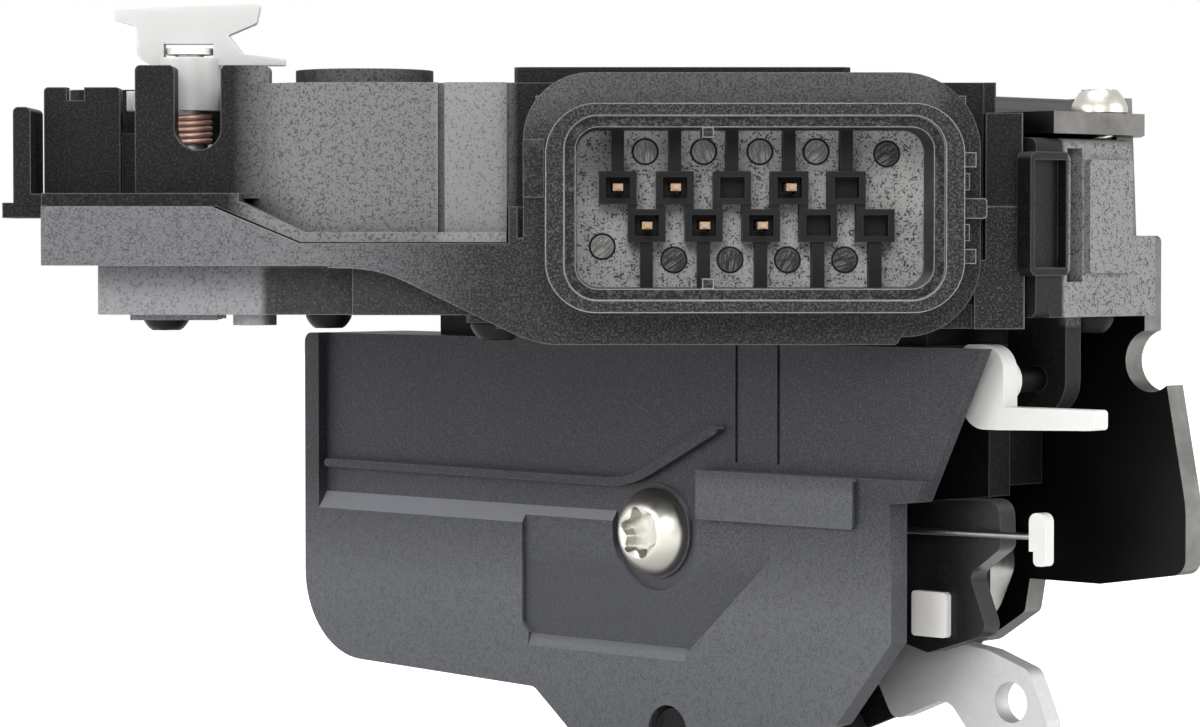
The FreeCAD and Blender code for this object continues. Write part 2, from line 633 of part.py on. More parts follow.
# Screw posts, motor hold-downs and the upper wheel boss.
pad(cover, "flat", -2.8, ceiling + 0.5, ("disc", POSTS[0][0], POSTS[0][1], 2.6))
pad(cover, "flat", d["parting"], ceiling + 0.5, *[("disc", x, y, 3.0) for x, y in POSTS[1:]])
cut(cover, "flat", -3.0, d["parting"] + 3.0, *[("disc", x, y, d["small_screw_r"]) for x, y in POSTS])
pad(cover, "flat", d["motor_z"] + d["motor_flat"], ceiling + 0.5,
    leg_box(d["motor_start"] - 5.0, d["motor_start"] - 3.4, d["motor_w"] - 5.0, d["motor_w"] + 5.0),
    leg_box(d["motor_start"] - 17.0, d["motor_start"] - 15.4, d["motor_w"] - 5.0, d["motor_w"] + 5.0))
pad(cover, "flat", d["wheel_low"] + d["wheel_tall"] + 0.4, ceiling + 0.5,
    ("disc", d["wheel_x"], d["wheel_y"], 3.4))
cut(cover, "flat", d["wheel_low"] + d["wheel_tall"], ceiling, ("disc", d["wheel_x"], d["wheel_y"], d["wheel_axle_r"]))
# Cable end: stepped end wall, bracket with its slot, and the boss of the inside lever.
pad(cover, "front", 16.0, 18.0,
    ("outline", [(-64.6, 1.0), (-57.6, 1.0), (-57.6, 11.2, 0.4), (-60.9, 11.2), (-60.9, 10.0), (-62.5, 10.0),
                 (-62.5, 11.2), (-64.6, 11.2, 0.4)]))
pad(cover, "side", -57.6, -55.9, ("box", 17.0, 28.0, 1.0, 7.0))
slot_half = d["cable_slot_wide"] / 2
pad(cover, "front", 13.0, 16.4,
    ("outline", [(-55.9, 1.0), (-43.7, 1.0), (-43.7, d["bracket_top"], 0.5),
                 (d["cable_x"] + slot_half, d["bracket_top"], 0.5), (d["cable_x"] + slot_half, d["cable_slot_low"], 2.0),
                 (d["cable_x"] - slot_half, d["cable_slot_low"], 2.0),
                 (d["cable_x"] - slot_half, d["bracket_top"], 0.5), (-55.9, d["bracket_top"], 0.5)]))
pad(cover, "side", -45.6, -43.7, ("box", 15.0, 19.0, 1.0, top))
pad(cover, "flat", 1.0, d["cable_slot_low"], ("disc", d["inside_pin_x"], d["inside_pin_y"], 3.0))
cut(cover, "flat", 2.0, d["cable_slot_low"] + 0.1, ("disc", d["inside_pin_x"], d["inside_pin_y"], d["inside_pin_r"]))
pad(cover, "front", 13.0, 21.0,
    ("outline", [(-68.0, -0.8), (left - 0.3, -0.8), (left - 0.3, d["parting"]), (-62.0, d["parting"]),
                 (-62.0, 1.4), (-65.4, 1.4), (-65.4, 9.3, 0.5), (-67.0, 9.3, 0.5), (-67.0, 0.6), (-68.0, 0.6)]))

# Axle of the worm wheel and the pin of the inside lever: ground steel.
axle = new_body("wheel_axle")
pad(axle, "flat", floor_top, ceiling, ("disc", d["wheel_x"], d["wheel_y"], d["wheel_axle_r"]))
lever_pin = new_body("inside_lever_pin")
pad(lever_pin, "flat", 2.0, 14.4, ("disc", d["inside_pin_x"], d["inside_pin_y"], d["inside_pin_r"]))
pad(lever_pin, "flat", 14.4, 15.0, ("disc", d["inside_pin_x"], d["inside_pin_y"], 2.2))

# Worm wheel: moulded gear with a ring of teeth, a hub and the drive stud under it.
wheel = new_body("worm_wheel")
wheel.Placement = FreeCAD.Placement(FreeCAD.Vector(*[number(v) for v in wheel_at], 0), FreeCAD.Rotation())
wheel.setExpression("Placement.Base.x", wheel_at[0].formula)
wheel.setExpression("Placement.Base.y", wheel_at[1].formula)
tooth_root = d["wheel_r"] - 0.9
wheel_top = d["wheel_low"] + d["wheel_tall"]
zero = 0 * d["wheel_r"]
pad(wheel, "flat", d["wheel_low"], wheel_top, ("disc", zero, zero, tooth_root))
cut(wheel, "flat", wheel_top - 1.4, wheel_top, ("disc", zero, zero, tooth_root - 1.4))
pad(wheel, "flat", wheel_top - 2.0, wheel_top, ("disc", zero, zero, 3.0))
tooth_half = d["wheel_r"] * 0.052
tooth = pad(wheel, "flat", d["wheel_low"], wheel_top,
            ("outline", [(tooth_root - 0.3, -tooth_half), (d["wheel_r"], -tooth_half * 0.5),
                         (d["wheel_r"], tooth_half * 0.5), (tooth_root - 0.3, tooth_half)]))
ring_of(wheel, [tooth], int(SIZES["wheel_teeth"]))
pad(wheel, "flat", d["wheel_low"] - 2.0, d["wheel_low"], ("disc", 5.2, zero, 1.1))
cut(wheel, "flat", d["wheel_low"] - 0.1, wheel_top + 0.1,
    ("disc", zero, zero, d["wheel_axle_r"] + d["run_gap"]))

# Lock motor: drawn steel can with two flats, a moulded end cap, and the shaft with its worm.
motor = new_body("lock_motor", True)
motor_back = d["motor_start"] - d["motor_long"] * 0.8
motor_w = d["motor_w"]
motor_z = d["motor_z"]
bore = d["shaft_r"] + d["run_gap"]
pad(motor, "side", motor_back, d["motor_start"],
    ("box", motor_w - d["motor_r"], motor_w + d["motor_r"], motor_low, motor_z + d["motor_flat"], 5.4))
pad(motor, "side", d["motor_start"] - 0.5, d["motor_start"] + 1.3, ("disc", motor_w, motor_z, 3.1))
cut(motor, "side", motor_back - 0.1, d["motor_start"] + 1.4, ("disc", motor_w, motor_z, bore))
end_cap = new_body("motor_end_cap", True)
pad(end_cap, "side", d["motor_start"] - d["motor_long"], motor_back,
    ("box", motor_w - d["motor_r"] + 0.5, motor_w + d["motor_r"] - 0.5, motor_low + 0.4,
     motor_z + d["motor_flat"] - 0.4, 5.0))
pad(end_cap, "side", d["motor_start"] - d["motor_long"] - 1.2, d["motor_start"] - d["motor_long"],
    ("disc", motor_w, motor_z, 2.6))
shaft = new_body("motor_shaft", True)
pad(shaft, "side", motor_back + 0.3, bearing_s + 1.8, ("disc", motor_w, motor_z, d["shaft_r"]))
worm = new_body("motor_worm", True)
worm_start = d["motor_start"] + 2.0
pad(worm, "side", worm_start, worm_start + d["worm_long"], ("disc", motor_w, motor_z, d["worm_core_r"]))
ridge = turn(worm, "along", (motor_w, motor_z),
             [(worm_start + 1.9, d["worm_core_r"] - 0.3), (worm_start + 3.1, d["worm_core_r"] - 0.3),
              (worm_start + 2.5, d["worm_r"])])
row_of(worm, [ridge], "X", d["worm_r"] * 0.72, 5)
cut(worm, "side", worm_start - 0.1, worm_start + d["worm_long"] + 0.1, ("disc", motor_w, motor_z, d["shaft_r"]))

# Two sensing switches on the base floor.
switches = new_body("micro_switches", True)
for start in (-62.0, -46.0):
    pad(switches, "flat", floor_top, floor_top + 6.5, ("box", start, start + 12.8, 12.0, 17.8, 0.4))
    pad(switches, "flat", floor_top + 6.5, floor_top + 7.6, ("box", start + 3.0, start + 4.6, 13.6, 16.2))

# Inside release lever: a translucent moulded lever that turns on an upright pin.
inside = new_body("inside_release_lever")
pad(inside, "flat", 9.2, 14.1, ("disc", d["inside_pin_x"], d["inside_pin_y"], 2.9))
pad(inside, "front", d["inside_pin_y"] - 1.0, d["inside_pin_y"] + 1.0,
    ("outline", [(-58.7, 18.7, 0.4), (-58.7, 17.6), (-56.6, 17.0, 0.6), (-56.6, 14.2, 1.0), (-54.0, 12.6),
                 (-54.0, 9.4), (-49.4, 9.4), (-49.4, 13.4), (-42.9, 13.4), (-42.9, 14.0), (-46.8, 14.5),
                 (-48.1, 16.2), (-45.5, 17.3, 0.4), (-45.1, 19.2, 0.4)]))
pad(inside, "flat", 9.2, 11.0, ("box", -57.6, d["inside_pin_x"], d["inside_pin_y"] - 1.6, d["inside_pin_y"] + 1.6, 1.0))
cut(inside, "flat", 9.0, 11.2, ("disc", -55.9, d["inside_pin_y"], 0.9))
cut(inside, "flat", 9.0, 15.4, ("disc", d["inside_pin_x"], d["inside_pin_y"], d["inside_pin_r"] + d["run_gap"]))
cut(inside, "flat", 14.1, 15.4, ("disc", d["inside_pin_x"], d["inside_pin_y"], 2.5))
inside_spring = new_body("inside_lever_spring")
turn(inside_spring, "up", (d["inside_pin_x"], d["inside_pin_y"]), coil_profile(5.6, 1.6, 0.6, 1.15, 3))

# Latch housing: the deep moulding behind the cover, with the striker throat and the claw and lever rooms.
face = d["cover_face"]
back_of_cover = face + d["cover_thick"]
plate_face = d["plate_face"]
s_left = d["leg_left"]
leg_top = d["leg_top"]
block_top = d["block_top"]
end_face = d["end_face"]
claw_at = (d["claw_s"], d["claw_z"])
pawl_at = (d["pawl_s"], d["pawl_z"])
throat_half = d["throat_wide"] / 2
throat_left = d["striker_s"] - throat_half
throat_right = d["striker_s"] + throat_half
inner_wall = d["inner_wall"]
lock_at = (d["lock_s"], d["lock_z"])
rear_room = d["claw_layer"] - 1.2
block_w = edge + d["soft_gap"]
cover_screw = (d["cover_screw_s"], d["cover_screw_z"])
foot_peg = (d["foot_peg_s"], d["foot_peg_z"])
DOOR_SCREWS = ((-59.0, 2.4), (-59.0, -37.6), (1.6, 1.4))
BLOCK_SCREW = (8.8, 35.9)
PLATE_SCREW = (10.6, 35.2)


def leg_outline(inset):
    """The outline of the latch leg's lower part, as seen through the leg."""
    return ("outline", [(s_left + inset, leg_top, 1.0), (s_left + inset, d["leg_low"] + inset, 9.0),
                        (-47.6, d["leg_low"] - 1.0 + inset, 1.5), (-43.0 + inset, -51.0),
                        (-37.0 + inset, d["foot_low"] + inset, 3.0),
                        (-21.0 - inset, d["foot_low"] + inset, 3.0), (-14.0 - inset, -50.0),
                        (-7.5 - inset, -47.9 + inset), (-0.8 - inset, -39.8), (-0.8 - inset, -27.0),
                        (2.2 - inset, -26.7), (9.2 - inset, leg_top)])


housing = new_body("latch_housing", True)
pad(housing, "front", back_of_cover, plate_face, leg_outline(0.5))
pad(housing, "front", block_w, plate_face, ("box", -66.0, 0.0, leg_top - 1.0, block_top, 1.5))
pad(housing, "front", block_w, d["plate_face"] - 3.8, ("box", -1.0, end_face, -9.8, 6.4, 0.8))
pad(housing, "front", block_w + 2.0, plate_face, ("box", -1.0, end_face, -9.8, -2.4))
# End face: a rimmed box that reaches forward past the base, a dark slot and a raised panel.
pad(housing, "side", end_face - 1.0, end_face + 0.6, ("box", block_w - 1.5, block_w + 4.2, -6.0, 5.1, 0.8))
pad(housing, "side", end_face, end_face + 0.6, ("box", 30.4, 36.8, -5.8, 4.5, 0.5))
cut(housing, "side", end_face - 0.4, end_face + 0.7, ("box", block_w - 0.9, block_w + 3.6, -5.3, 4.4))
cut(housing, "side", end_face - 3.0, end_face + 0.7, ("box", block_w + 4.5, 30.0, -6.6, 5.5))
# Everything behind the left end and right of the inner wall is cut away.
cut(housing, "front", 32.0, plate_face + 0.1, ("box", s_left - 1.0, -64.3, -60.0, leg_top + 0.4))
cut(housing, "front", 31.6, plate_face + 0.1, ("box", -50.0, 12.0, -60.0, -46.9))
cut(housing, "front", back_of_cover - 0.1, plate_face + 0.1, ("box", 1.0, 12.0, -60.0, -10.6))
cut(housing, "front", rear_room, plate_face + 0.1, ("box", -0.6, 12.0, -50.0, -10.6))
# Tongue that carries the lock lever's pin.
pad(housing, "front", inner_wall, inner_wall + 2.2,
    ("outline", [(lock_at[0] - 3.4, -9.6), (lock_at[0] - 3.4, lock_at[1] - 3.4, 3.3),
                 (lock_at[0] + 3.4, lock_at[1] - 3.4, 3.3), (lock_at[0] + 3.4, -9.6)]))
# Room for the levers, open to the right, and the hollow left ends.
cut(housing, "front", back_of_cover - 0.1, inner_wall,
    ("outline", [(-19.6, -14.6, 2.0), (12.0, -14.6), (12.0, -60.0), (-6.5, -60.0), (-15.0, -48.4), (-19.6, -45.0)]),
    ("outline", [(-61.0, -14.6, 2.0), (-36.6, -14.6, 2.0), (-36.6, -44.6, 2.0), (-61.0, -44.6, 2.0)]))
cut(housing, "front", back_of_cover - 0.1, 30.0,
    ("outline", [(-80.4, -14.6, 1.5), (-63.0, -14.6, 1.5), (-63.0, -44.0, 1.5), (-75.0, -44.0), (-80.4, -38.0)]))
cut(housing, "front", back_of_cover - 0.1, inner_wall, ("disc", claw_at[0], claw_at[1], 6.6))
# Rear room: the claw's circle, the pawl's arm and the wells of the door screw collars.
cut(housing, "front", rear_room, plate_face + 0.1, ("disc", claw_at[0], claw_at[1], d["claw_reach"] + 1.0))
cut(housing, "front", rear_room, plate_face + 0.1,
    ("outline", [(-37.0, -30.0), (-15.0, -26.0), (0.6, -26.0), (0.6, -42.0), (-8.0, -45.2), (-37.0, -45.2)]))
cut(housing, "front", plate_face - 3.0, plate_face + 0.1,
    *[("disc", s, z, d["door_collar_r"] + 0.5) for s, z in DOOR_SCREWS])
# Striker throat with a flared mouth.
throat_w = back_of_cover + 3.7
cut(housing, "front", throat_w, plate_face + 0.1,
    ("outline", [(throat_left, d["throat_low"], 2.0), (throat_right, d["throat_low"], 2.0), (throat_right, -2.0),
                 (throat_right + 2.5, block_top + 0.5), (throat_left - 2.5, block_top + 0.5),
                 (throat_left, -2.0)]))
# Recess of the support plate and the holes for pins and screws.
SUPPORT = [(-46.0, -9.6, 4.0), (-30.6, -9.6, 3.0), (-30.6, -25.8, 2.0), (-3.4, -27.4, 4.0), (-2.4, -39.0, 4.0),
           (-14.0, -40.0, 4.0), (-46.0, -26.0, 4.0)]
cut(housing, "front", d["support_layer"], rear_room + 0.1, ("outline", SUPPORT))
cut(housing, "front", inner_wall - 0.1, rear_room + 0.2, ("disc", claw_at[0], claw_at[1], d["claw_pin_r"]),
    ("disc", pawl_at[0], pawl_at[1], d["pawl_pin_r"] + 1.2))
cut(housing, "front", back_of_cover - 0.1, 30.5, ("disc", cover_screw[0], cover_screw[1], d["screw_r"]))
cut(housing, "front", inner_wall - 0.1, inner_wall + 2.0, ("disc", lock_at[0], lock_at[1], d["lock_pin_r"]))
cut(housing, "flat", -10.0, -4.2, ("disc", BLOCK_SCREW[0], BLOCK_SCREW[1], d["small_screw_r"]))
cut(housing, "flat", 0.0, 6.6, ("disc", PLATE_SCREW[0], PLATE_SCREW[1], d["small_screw_r"]))
# Moulded peg that locates the cover's foot.
pad(housing, "front", face + 0.9, back_of_cover + 0.2, ("disc", foot_peg[0], foot_peg[1], d["foot_peg_r"]))

# Latch cover: the flat outer shell. Its upper field is recessed, with a curved bead, a sloped step under it,
# a bar beside the screw pocket and a shallow pad below.
sunk = face + d["cover_recess"]
latch_cover = new_body("latch_cover", True)
pad(latch_cover, "front", face, back_of_cover, leg_outline(0))
cut(latch_cover, "front", face - 0.1, sunk,
    ("outline", [(s_left + 2.2, leg_top + 1.0), (12.0, leg_top + 1.0), (12.0, -24.8), (-25.4, -24.8),
                 (-25.4, -29.4), (s_left + 2.2, -29.4)]))
cut(latch_cover, "side", s_left + 2.2, -36.9,
    ("outline", [(face - 0.1, -29.3), (sunk, -29.3), (face, -31.1), (face - 0.1, -31.1)]))
# Shallow pad with a sloped lower edge, then the pocket of the screw.
cut(latch_cover, "front", face - 0.1, face + 0.5,
    ("outline", [(-49.3, -29.0), (-49.3, -42.2, 1.5), (-26.0, -42.2), (-15.6, -33.0), (-15.6, -29.0)]))
cut(latch_cover, "side", -48.4, -26.6,
    ("outline", [(face - 0.1, -42.0), (face + 0.5, -42.0), (face, -43.4), (face - 0.1, -43.4)]))
cut(latch_cover, "front", face - 0.1, sunk,
    ("outline", [(-37.0, -28.8), (-37.0, -36.9, 5.6), (-25.6, -36.9, 5.6), (-25.6, -28.8)]))
pad(latch_cover, "front", face + 0.8, sunk + 0.2, ("disc", cover_screw[0], cover_screw[1], 4.6))
# Bar beside the pocket, and the bead that curves up over it.
pad(latch_cover, "front", face - 0.6, sunk + 0.2, ("box", -24.7, -4.8, -29.5, -24.8, 0.4))
pad(latch_cover, "front", face + 0.1, sunk + 0.2,
    ("outline", [(s_left + 3.0, -25.9, 0.35), (-34.6, -26.1, 12.0), (-23.0, -20.4, 0.35), (-22.4, -21.1, 0.35),
                 (-34.2, -26.9, 12.8), (s_left + 3.0, -26.7, 0.35)]))
# Two marks in the recessed field, the screw's hole, the peg's hole and the seat of the pawl pin.
cut(latch_cover, "front", sunk, sunk + 0.3,
    ("box", -21.2, -20.8, -24.0, leg_top + 1.0), ("box", -15.8, -15.4, -24.0, leg_top + 1.0))
cut(latch_cover, "front", face + 0.7, back_of_cover + 0.1, ("disc", cover_screw[0], cover_screw[1], d["screw_r"]))
cut(latch_cover, "front", face - 0.1, back_of_cover + 0.1,
    ("disc", foot_peg[0], foot_peg[1], d["foot_peg_r"] + 0.4))
cut(latch_cover, "front", back_of_cover - 1.2, back_of_cover + 0.1,
    ("disc", pawl_at[0], pawl_at[1], d["pawl_pin_r"]))

# Latch plate: pressed steel with the striker slot, three threaded collars and a bent top flange.
plate = new_body("latch_plate", True)
plate_back = plate_face + d["steel_thick"]
flange_top = d["flange_up"]
flange_low = flange_top - d["sheet_thick"]
joggle_top = flange_top - 1.7
joggle_low = joggle_top - d["sheet_thick"]
notch = (12.2, -14.05 + zero)
pad(plate, "front", plate_face, plate_back,
    ("outline", [(-64.0, flange_top, 4.0), (8.0, flange_top), (8.6, -2.4), (11.5, -2.4, 0.6), (11.5, notch[1]),
                 (13.6, notch[1]), (14.4, -18.0), (16.3, -27.5, 12.0), (16.3, -33.7, 1.6), (6.4, -35.2),
                 (-2.0, -35.2), (-2.6, -38.4, 0.8), (-7.6, -41.6, 2.0), (-30.0, -45.6, 3.0),
                 (-60.0, -45.0, 4.0), (-64.0, -38.0, 2.0)]))
cut(plate, "front", plate_face - 0.1, plate_back + 0.1, ("disc", notch[0], notch[1], 2.9))
# The bent flange steps down in a joggle before the screw.
pad(plate, "front", 25.2, plate_back,
    ("outline", [(-12.6, flange_low), (2.4, flange_low, 2.0), (5.0, joggle_low, 2.0), (13.4, joggle_low),
                 (13.4, joggle_top), (5.8, joggle_top, 3.0), (3.2, flange_top, 3.0), (-12.6, flange_top)]))
cut(plate, "flat", joggle_low - 0.1, flange_top + 0.1,
    ("outline", [(-13.0, 24.0), (3.4, 24.0), (-2.0, 30.0, 2.0), (-13.0, 36.2)]),
    ("outline", [(14.0, 24.0), (14.0, 44.0), (8.6, 44.0), (13.2, 38.6), (13.2, 24.0)]))
pad(plate, "front", plate_face - 2.4, plate_face + 0.2, *[("disc", s, z, d["door_collar_r"]) for s, z in DOOR_SCREWS])
cut(plate, "front", plate_face - 2.5, plate_back + 0.1, *[("disc", s, z, d["door_thread_r"]) for s, z in DOOR_SCREWS])
cut(plate, "front", plate_face - 0.1, plate_back + 0.1,
    ("outline", [(throat_left, d["throat_low"] + 3.0, 5.5), (throat_right, d["throat_low"] + 3.0, 5.5),
                 (throat_right, -2.0), (throat_right + 2.5, flange_top + 0.1), (throat_left - 2.5, flange_top + 0.1),
                 (throat_left, -2.0)]))
cut(plate, "front", plate_face - 0.1, plate_back + 0.1, ("disc", claw_at[0], claw_at[1], d["claw_pin_r"] - 0.8),
    ("disc", pawl_at[0], pawl_at[1], d["pawl_pin_r"] - 0.6))
cut(plate, "flat", joggle_low - 0.1, joggle_top + 0.1,
    ("disc", PLATE_SCREW[0], PLATE_SCREW[1], d["small_screw_r"] + 0.2))

# Support plate: flat steel behind the claw that steadies both pins.
support = new_body("support_plate", True)
pad(support, "front", d["support_layer"], d["support_layer"] + d["support_thick"], ("outline", SUPPORT))
cut(support, "front", d["support_layer"] - 0.1, rear_room, ("disc", claw_at[0], claw_at[1], d["claw_pin_r"]),
    ("disc", pawl_at[0], pawl_at[1], d["pawl_pin_r"] + 1.2))

# Riveted steel pins of the claw and of the pawl, shouldered against the latch plate.
claw_pin = new_body("claw_pin", True)
turn(claw_pin, "deep", claw_at,
     [(24.0, zero), (24.0, d["claw_pin_r"] - 0.5), (24.5, d["claw_pin_r"]), (plate_face, d["claw_pin_r"]),
      (plate_face, d["claw_pin_r"] - 0.8), (plate_back + 0.6, d["claw_pin_r"] - 0.8), (plate_back + 0.6, zero)])
pawl_pin = new_body("pawl_pin", True)
turn(pawl_pin, "deep", pawl_at,
     [(back_of_cover - 1.2, zero), (back_of_cover - 1.2, d["pawl_pin_r"]), (plate_face, d["pawl_pin_r"]),
      (plate_face, d["pawl_pin_r"] - 0.6), (plate_back + 0.6, d["pawl_pin_r"] - 0.6), (plate_back + 0.6, zero)])

# Claw: blanked steel with a moulded jacket on its inner face and in its mouth. It rests open.
half_mouth = d["claw_mouth"] / 2
arm = d["striker_arm"]
rim = d["claw_rim"]
reach = d["claw_reach"]
opened = d["claw_open"]
claw_w = d["claw_layer"]
claw_back = claw_w + d["claw_thick"]


def claw_points(points):
    """Corners given with the claw shut, turned to the open claw about its pin."""
    shape = []
    for point in points:
        x, z = turned_point(point[0] + zero, point[1] + zero, opened)
        shape.append((claw_at[0] + x, claw_at[1] + z) + tuple(point[2:]))
    return ("outline", shape)


def claw_disc(x, z, radius):
    x, z = turned_point(x + zero, z + zero, opened)
    return ("disc", claw_at[0] + x, claw_at[1] + z, radius)


def mouth(half, overrun):
    return claw_points([(arm - half, -half, half * 0.97), (reach + overrun, -half), (reach + overrun, half),
                        (arm - half, half, half * 0.97)])


claw = new_body("claw", True)
pad(claw, "front", claw_w, claw_back, ("disc", claw_at[0], claw_at[1], rim))
pad(claw, "front", claw_w, claw_back,
    claw_points([(7.0, half_mouth), (reach - 0.7, half_mouth, 1.2), (17.0, 13.2, 3.0), (7.0, 17.4)]))
pad(claw, "front", claw_w, claw_back,
    claw_points([(7.0, -17.3), (18.6, -11.0, 2.0), (reach - 0.7, -half_mouth, 1.2), (7.0, -half_mouth)]))
cut(claw, "front", claw_w - 0.1, claw_back + 0.1, mouth(half_mouth + 1.0, 2.0))
cut(claw, "front", claw_w - 0.1, claw_back + 0.1,
    claw_points([(7.2, -13.2, 0.6), (9.9, -17.8), (3.4, -21.0), (2.8, -14.8, 0.6)]))
cut(claw, "front", claw_w - 0.1, claw_back + 0.1,
    claw_points([(-21.0, 2.0), (-14.6, 5.0, 2.0), (-9.0, 14.2, 2.0), (-3.0, 21.0), (-21.0, 21.0)]))
cut(claw, "front", claw_w - 0.1, claw_back + 0.1,
    ("disc", claw_at[0], claw_at[1], d["claw_pin_r"] + d["run_gap"]))

jacket = new_body("claw_jacket", True)
skin = claw_w - 1.0
pad(jacket, "front", skin, claw_w, ("disc", claw_at[0], claw_at[1], rim - 0.8))
pad(jacket, "front", skin, claw_w,
    claw_points([(7.0, half_mouth), (reach - 1.4, half_mouth, 1.0), (16.6, 12.4, 3.0), (7.0, 16.8)]))
pad(jacket, "front", skin, claw_w,
    claw_points([(7.0, -16.6), (18.0, -10.6, 2.0), (reach - 1.4, -half_mouth, 1.0), (7.0, -half_mouth)]))
pad(jacket, "front", skin, claw_back - 0.2, mouth(half_mouth + 1.0, -2.6))
cut(jacket, "front", skin - 0.1, claw_back + 0.1, mouth(half_mouth, 3.0))
cut(jacket, "front", skin - 0.1, claw_w + 0.1,
    claw_points([(6.6, -12.6, 0.6), (9.9, -17.8), (3.4, -21.0), (2.4, -14.2, 0.6)]))
cut(jacket, "front", skin - 0.1, claw_w + 0.1,
    claw_points([(-21.0, 1.4), (-14.0, 4.6, 2.0), (-8.4, 13.4, 2.0), (-3.0, 21.0), (-21.0, 21.0)]))
cut(jacket, "front", skin - 0.1, claw_w + 0.1,
    ("disc", claw_at[0], claw_at[1], d["claw_pin_r"] + d["run_gap"]))

# Pawl: blanked steel arm under the claw, with the moulded lifter and its white pad on the same tube.
tube_r = d["pawl_pin_r"] + 0.7
pawl_bore = d["pawl_pin_r"] + d["run_gap"]
pawl = new_body("pawl", True)
pad(pawl, "front", claw_w, claw_back,
    ("outline", [(-12.0, -27.6, 3.0), (-5.0, -27.6, 4.0), (-2.3, -33.5, 3.0), (-5.0, -39.4, 4.0), (-12.0, -40.2, 3.0),
                 (-31.6, -40.0, 1.5), (-31.8, -36.0, 0.4), (-25.0, -35.6, 3.0), (-19.0, -32.8, 2.0)]))
cut(pawl, "front", claw_w - 0.1, claw_back + 0.1, ("disc", pawl_at[0], pawl_at[1], pawl_bore))
lifter = new_body("pawl_lifter", True)
lifter_w = d["lifter_layer"]
pad(lifter, "front", lifter_w, lifter_w + 2.2,
    ("outline", [(-9.0, -28.0, 2.0), (0.0, -26.8, 1.0), (6.5, -26.5, 1.5), (6.7, -31.0, 1.0), (3.0, -33.6, 1.0),
                 (5.2, -39.0, 1.2), (-2.0, -41.2, 1.0), (-12.0, -38.8, 3.0), (-13.6, -32.0, 3.0)]))
pad(lifter, "front", lifter_w, claw_w, ("disc", pawl_at[0], pawl_at[1], tube_r))
cut(lifter, "front", lifter_w - 0.1, lifter_w + 2.3, ("box", -3.4, 0.8, -39.6, -35.4, 0.4))
cut(lifter, "front", lifter_w - 0.1, claw_w + 0.1, ("disc", pawl_at[0], pawl_at[1], pawl_bore))
lifter_pad = new_body("lifter_pad", True)
pad(lifter_pad, "front", lifter_w - 0.7, lifter_w + 2.2, ("box", -3.4, 0.8, -39.6, -35.4, 0.4))

# Outside release lever: zinc-plated pressed steel with the rod hole.
outer = new_body("outside_release_lever", True)
outer_w = d["outer_lever_layer"]
pad(outer, "front", outer_w, outer_w + d["sheet_thick"],
    ("outline", [(-14.4, -29.0, 4.0), (-3.4, -29.0, 4.0), (-1.6, -40.2, 1.5), (3.2, -40.8, 1.0), (7.9, -42.3, 1.5),
                 (10.2, -47.3, 1.5), (8.2, -52.0, 2.0), (2.5, -50.5, 1.5), (-1.8, -45.6, 2.0), (-8.4, -48.3, 1.2),
                 (-10.6, -44.4, 1.5), (-14.4, -38.0, 3.0)]))
cut(outer, "front", outer_w - 0.1, outer_w + d["sheet_thick"] + 0.1,
    ("disc", pawl_at[0], pawl_at[1], tube_r + d["run_gap"]), ("disc", d["rod_s"], d["rod_z"], d["rod_hole_r"]))

# Lock lever: a white Z-shaped moulding with a blind boss over its own short pin.
lock_w = d["lock_layer"]
lock_lever = new_body("lock_lever", True)
pad(lock_lever, "front", lock_w, lock_w + 2.0,
    ("outline", [(4.2, -12.3, 1.0), (9.1, -12.3, 2.4), (9.1, -17.9), (19.4, -17.9, 0.4), (19.4, -19.7, 0.4),
                 (8.4, -20.0, 0.4), (4.2, -20.0, 2.6)]))
pad(lock_lever, "front", lock_w, lock_w + 3.2, ("disc", lock_at[0], lock_at[1], 2.1))
cut(lock_lever, "front", lock_w + 0.8, lock_w + 3.3,
    ("disc", lock_at[0], lock_at[1], d["lock_pin_r"] + d["run_gap"]))
lock_pin = new_body("lock_lever_pin", True)
pad(lock_pin, "front", lock_w + 1.0, inner_wall + 2.0, ("disc", lock_at[0], lock_at[1], d["lock_pin_r"]))

# Coil springs of the claw and of the pawl, and the white tab that ends the pawl spring's leg.
claw_spring = new_body("claw_spring", True)
turn(claw_spring, "deep", claw_at, coil_profile(25.0, 4.2, 1.0, 1.5, 3))
pad(claw_spring, "front", 25.1, 26.0, ("box", -43.2, -42.3, -31.0, -17.5))
pawl_spring = new_body("pawl_spring", True)
turn(pawl_spring, "deep", pawl_at, coil_profile(22.2, 3.2, 0.8, 1.05, 3))
pad(pawl_spring, "front", 24.5, 25.1, ("outline", [(-8.5, -30.2), (11.6, -29.9), (11.6, -29.3), (-8.5, -29.6)]))
tab = new_body("spring_tab", True)
pad(tab, "front", 24.2, 25.4,
    ("outline", [(11.3, -30.9), (11.3, -27.4, 0.8), (13.2, -27.4, 0.8), (13.2, -32.2, 0.5), (11.8, -32.2, 0.5),
                 (11.8, -30.9)]))
cut(tab, "front", 24.5, 25.1, ("box", 11.2, 11.65, -30.2, -29.1))

# Striker bumper: rubber block on the throat's floor.
bumper = new_body("striker_bumper", True)
pad(bumper, "front", throat_w + 0.2, d["support_layer"] - 0.4,
    ("outline", [(throat_left + 2.0, d["throat_low"]), (throat_right - 2.0, d["throat_low"]),
                 (throat_right - 2.6, d["throat_low"] + 3.4, 1.4), (throat_left + 2.6, d["throat_low"] + 3.4, 1.4)]))


def pan_head(body, axis, at, seat, outward, radius, tall, shank_r, shank_long):
    """A pan-head screw. outward is the sign of the way its head faces along the axis."""
    turn(body, axis, at, [(seat + outward * tall, zero), (seat + outward * tall, radius * 0.72),
                          (seat + outward * tall * 0.5, radius), (seat, radius), (seat, shank_r),
                          (seat - outward * shank_long, shank_r), (seat - outward * shank_long, zero)])


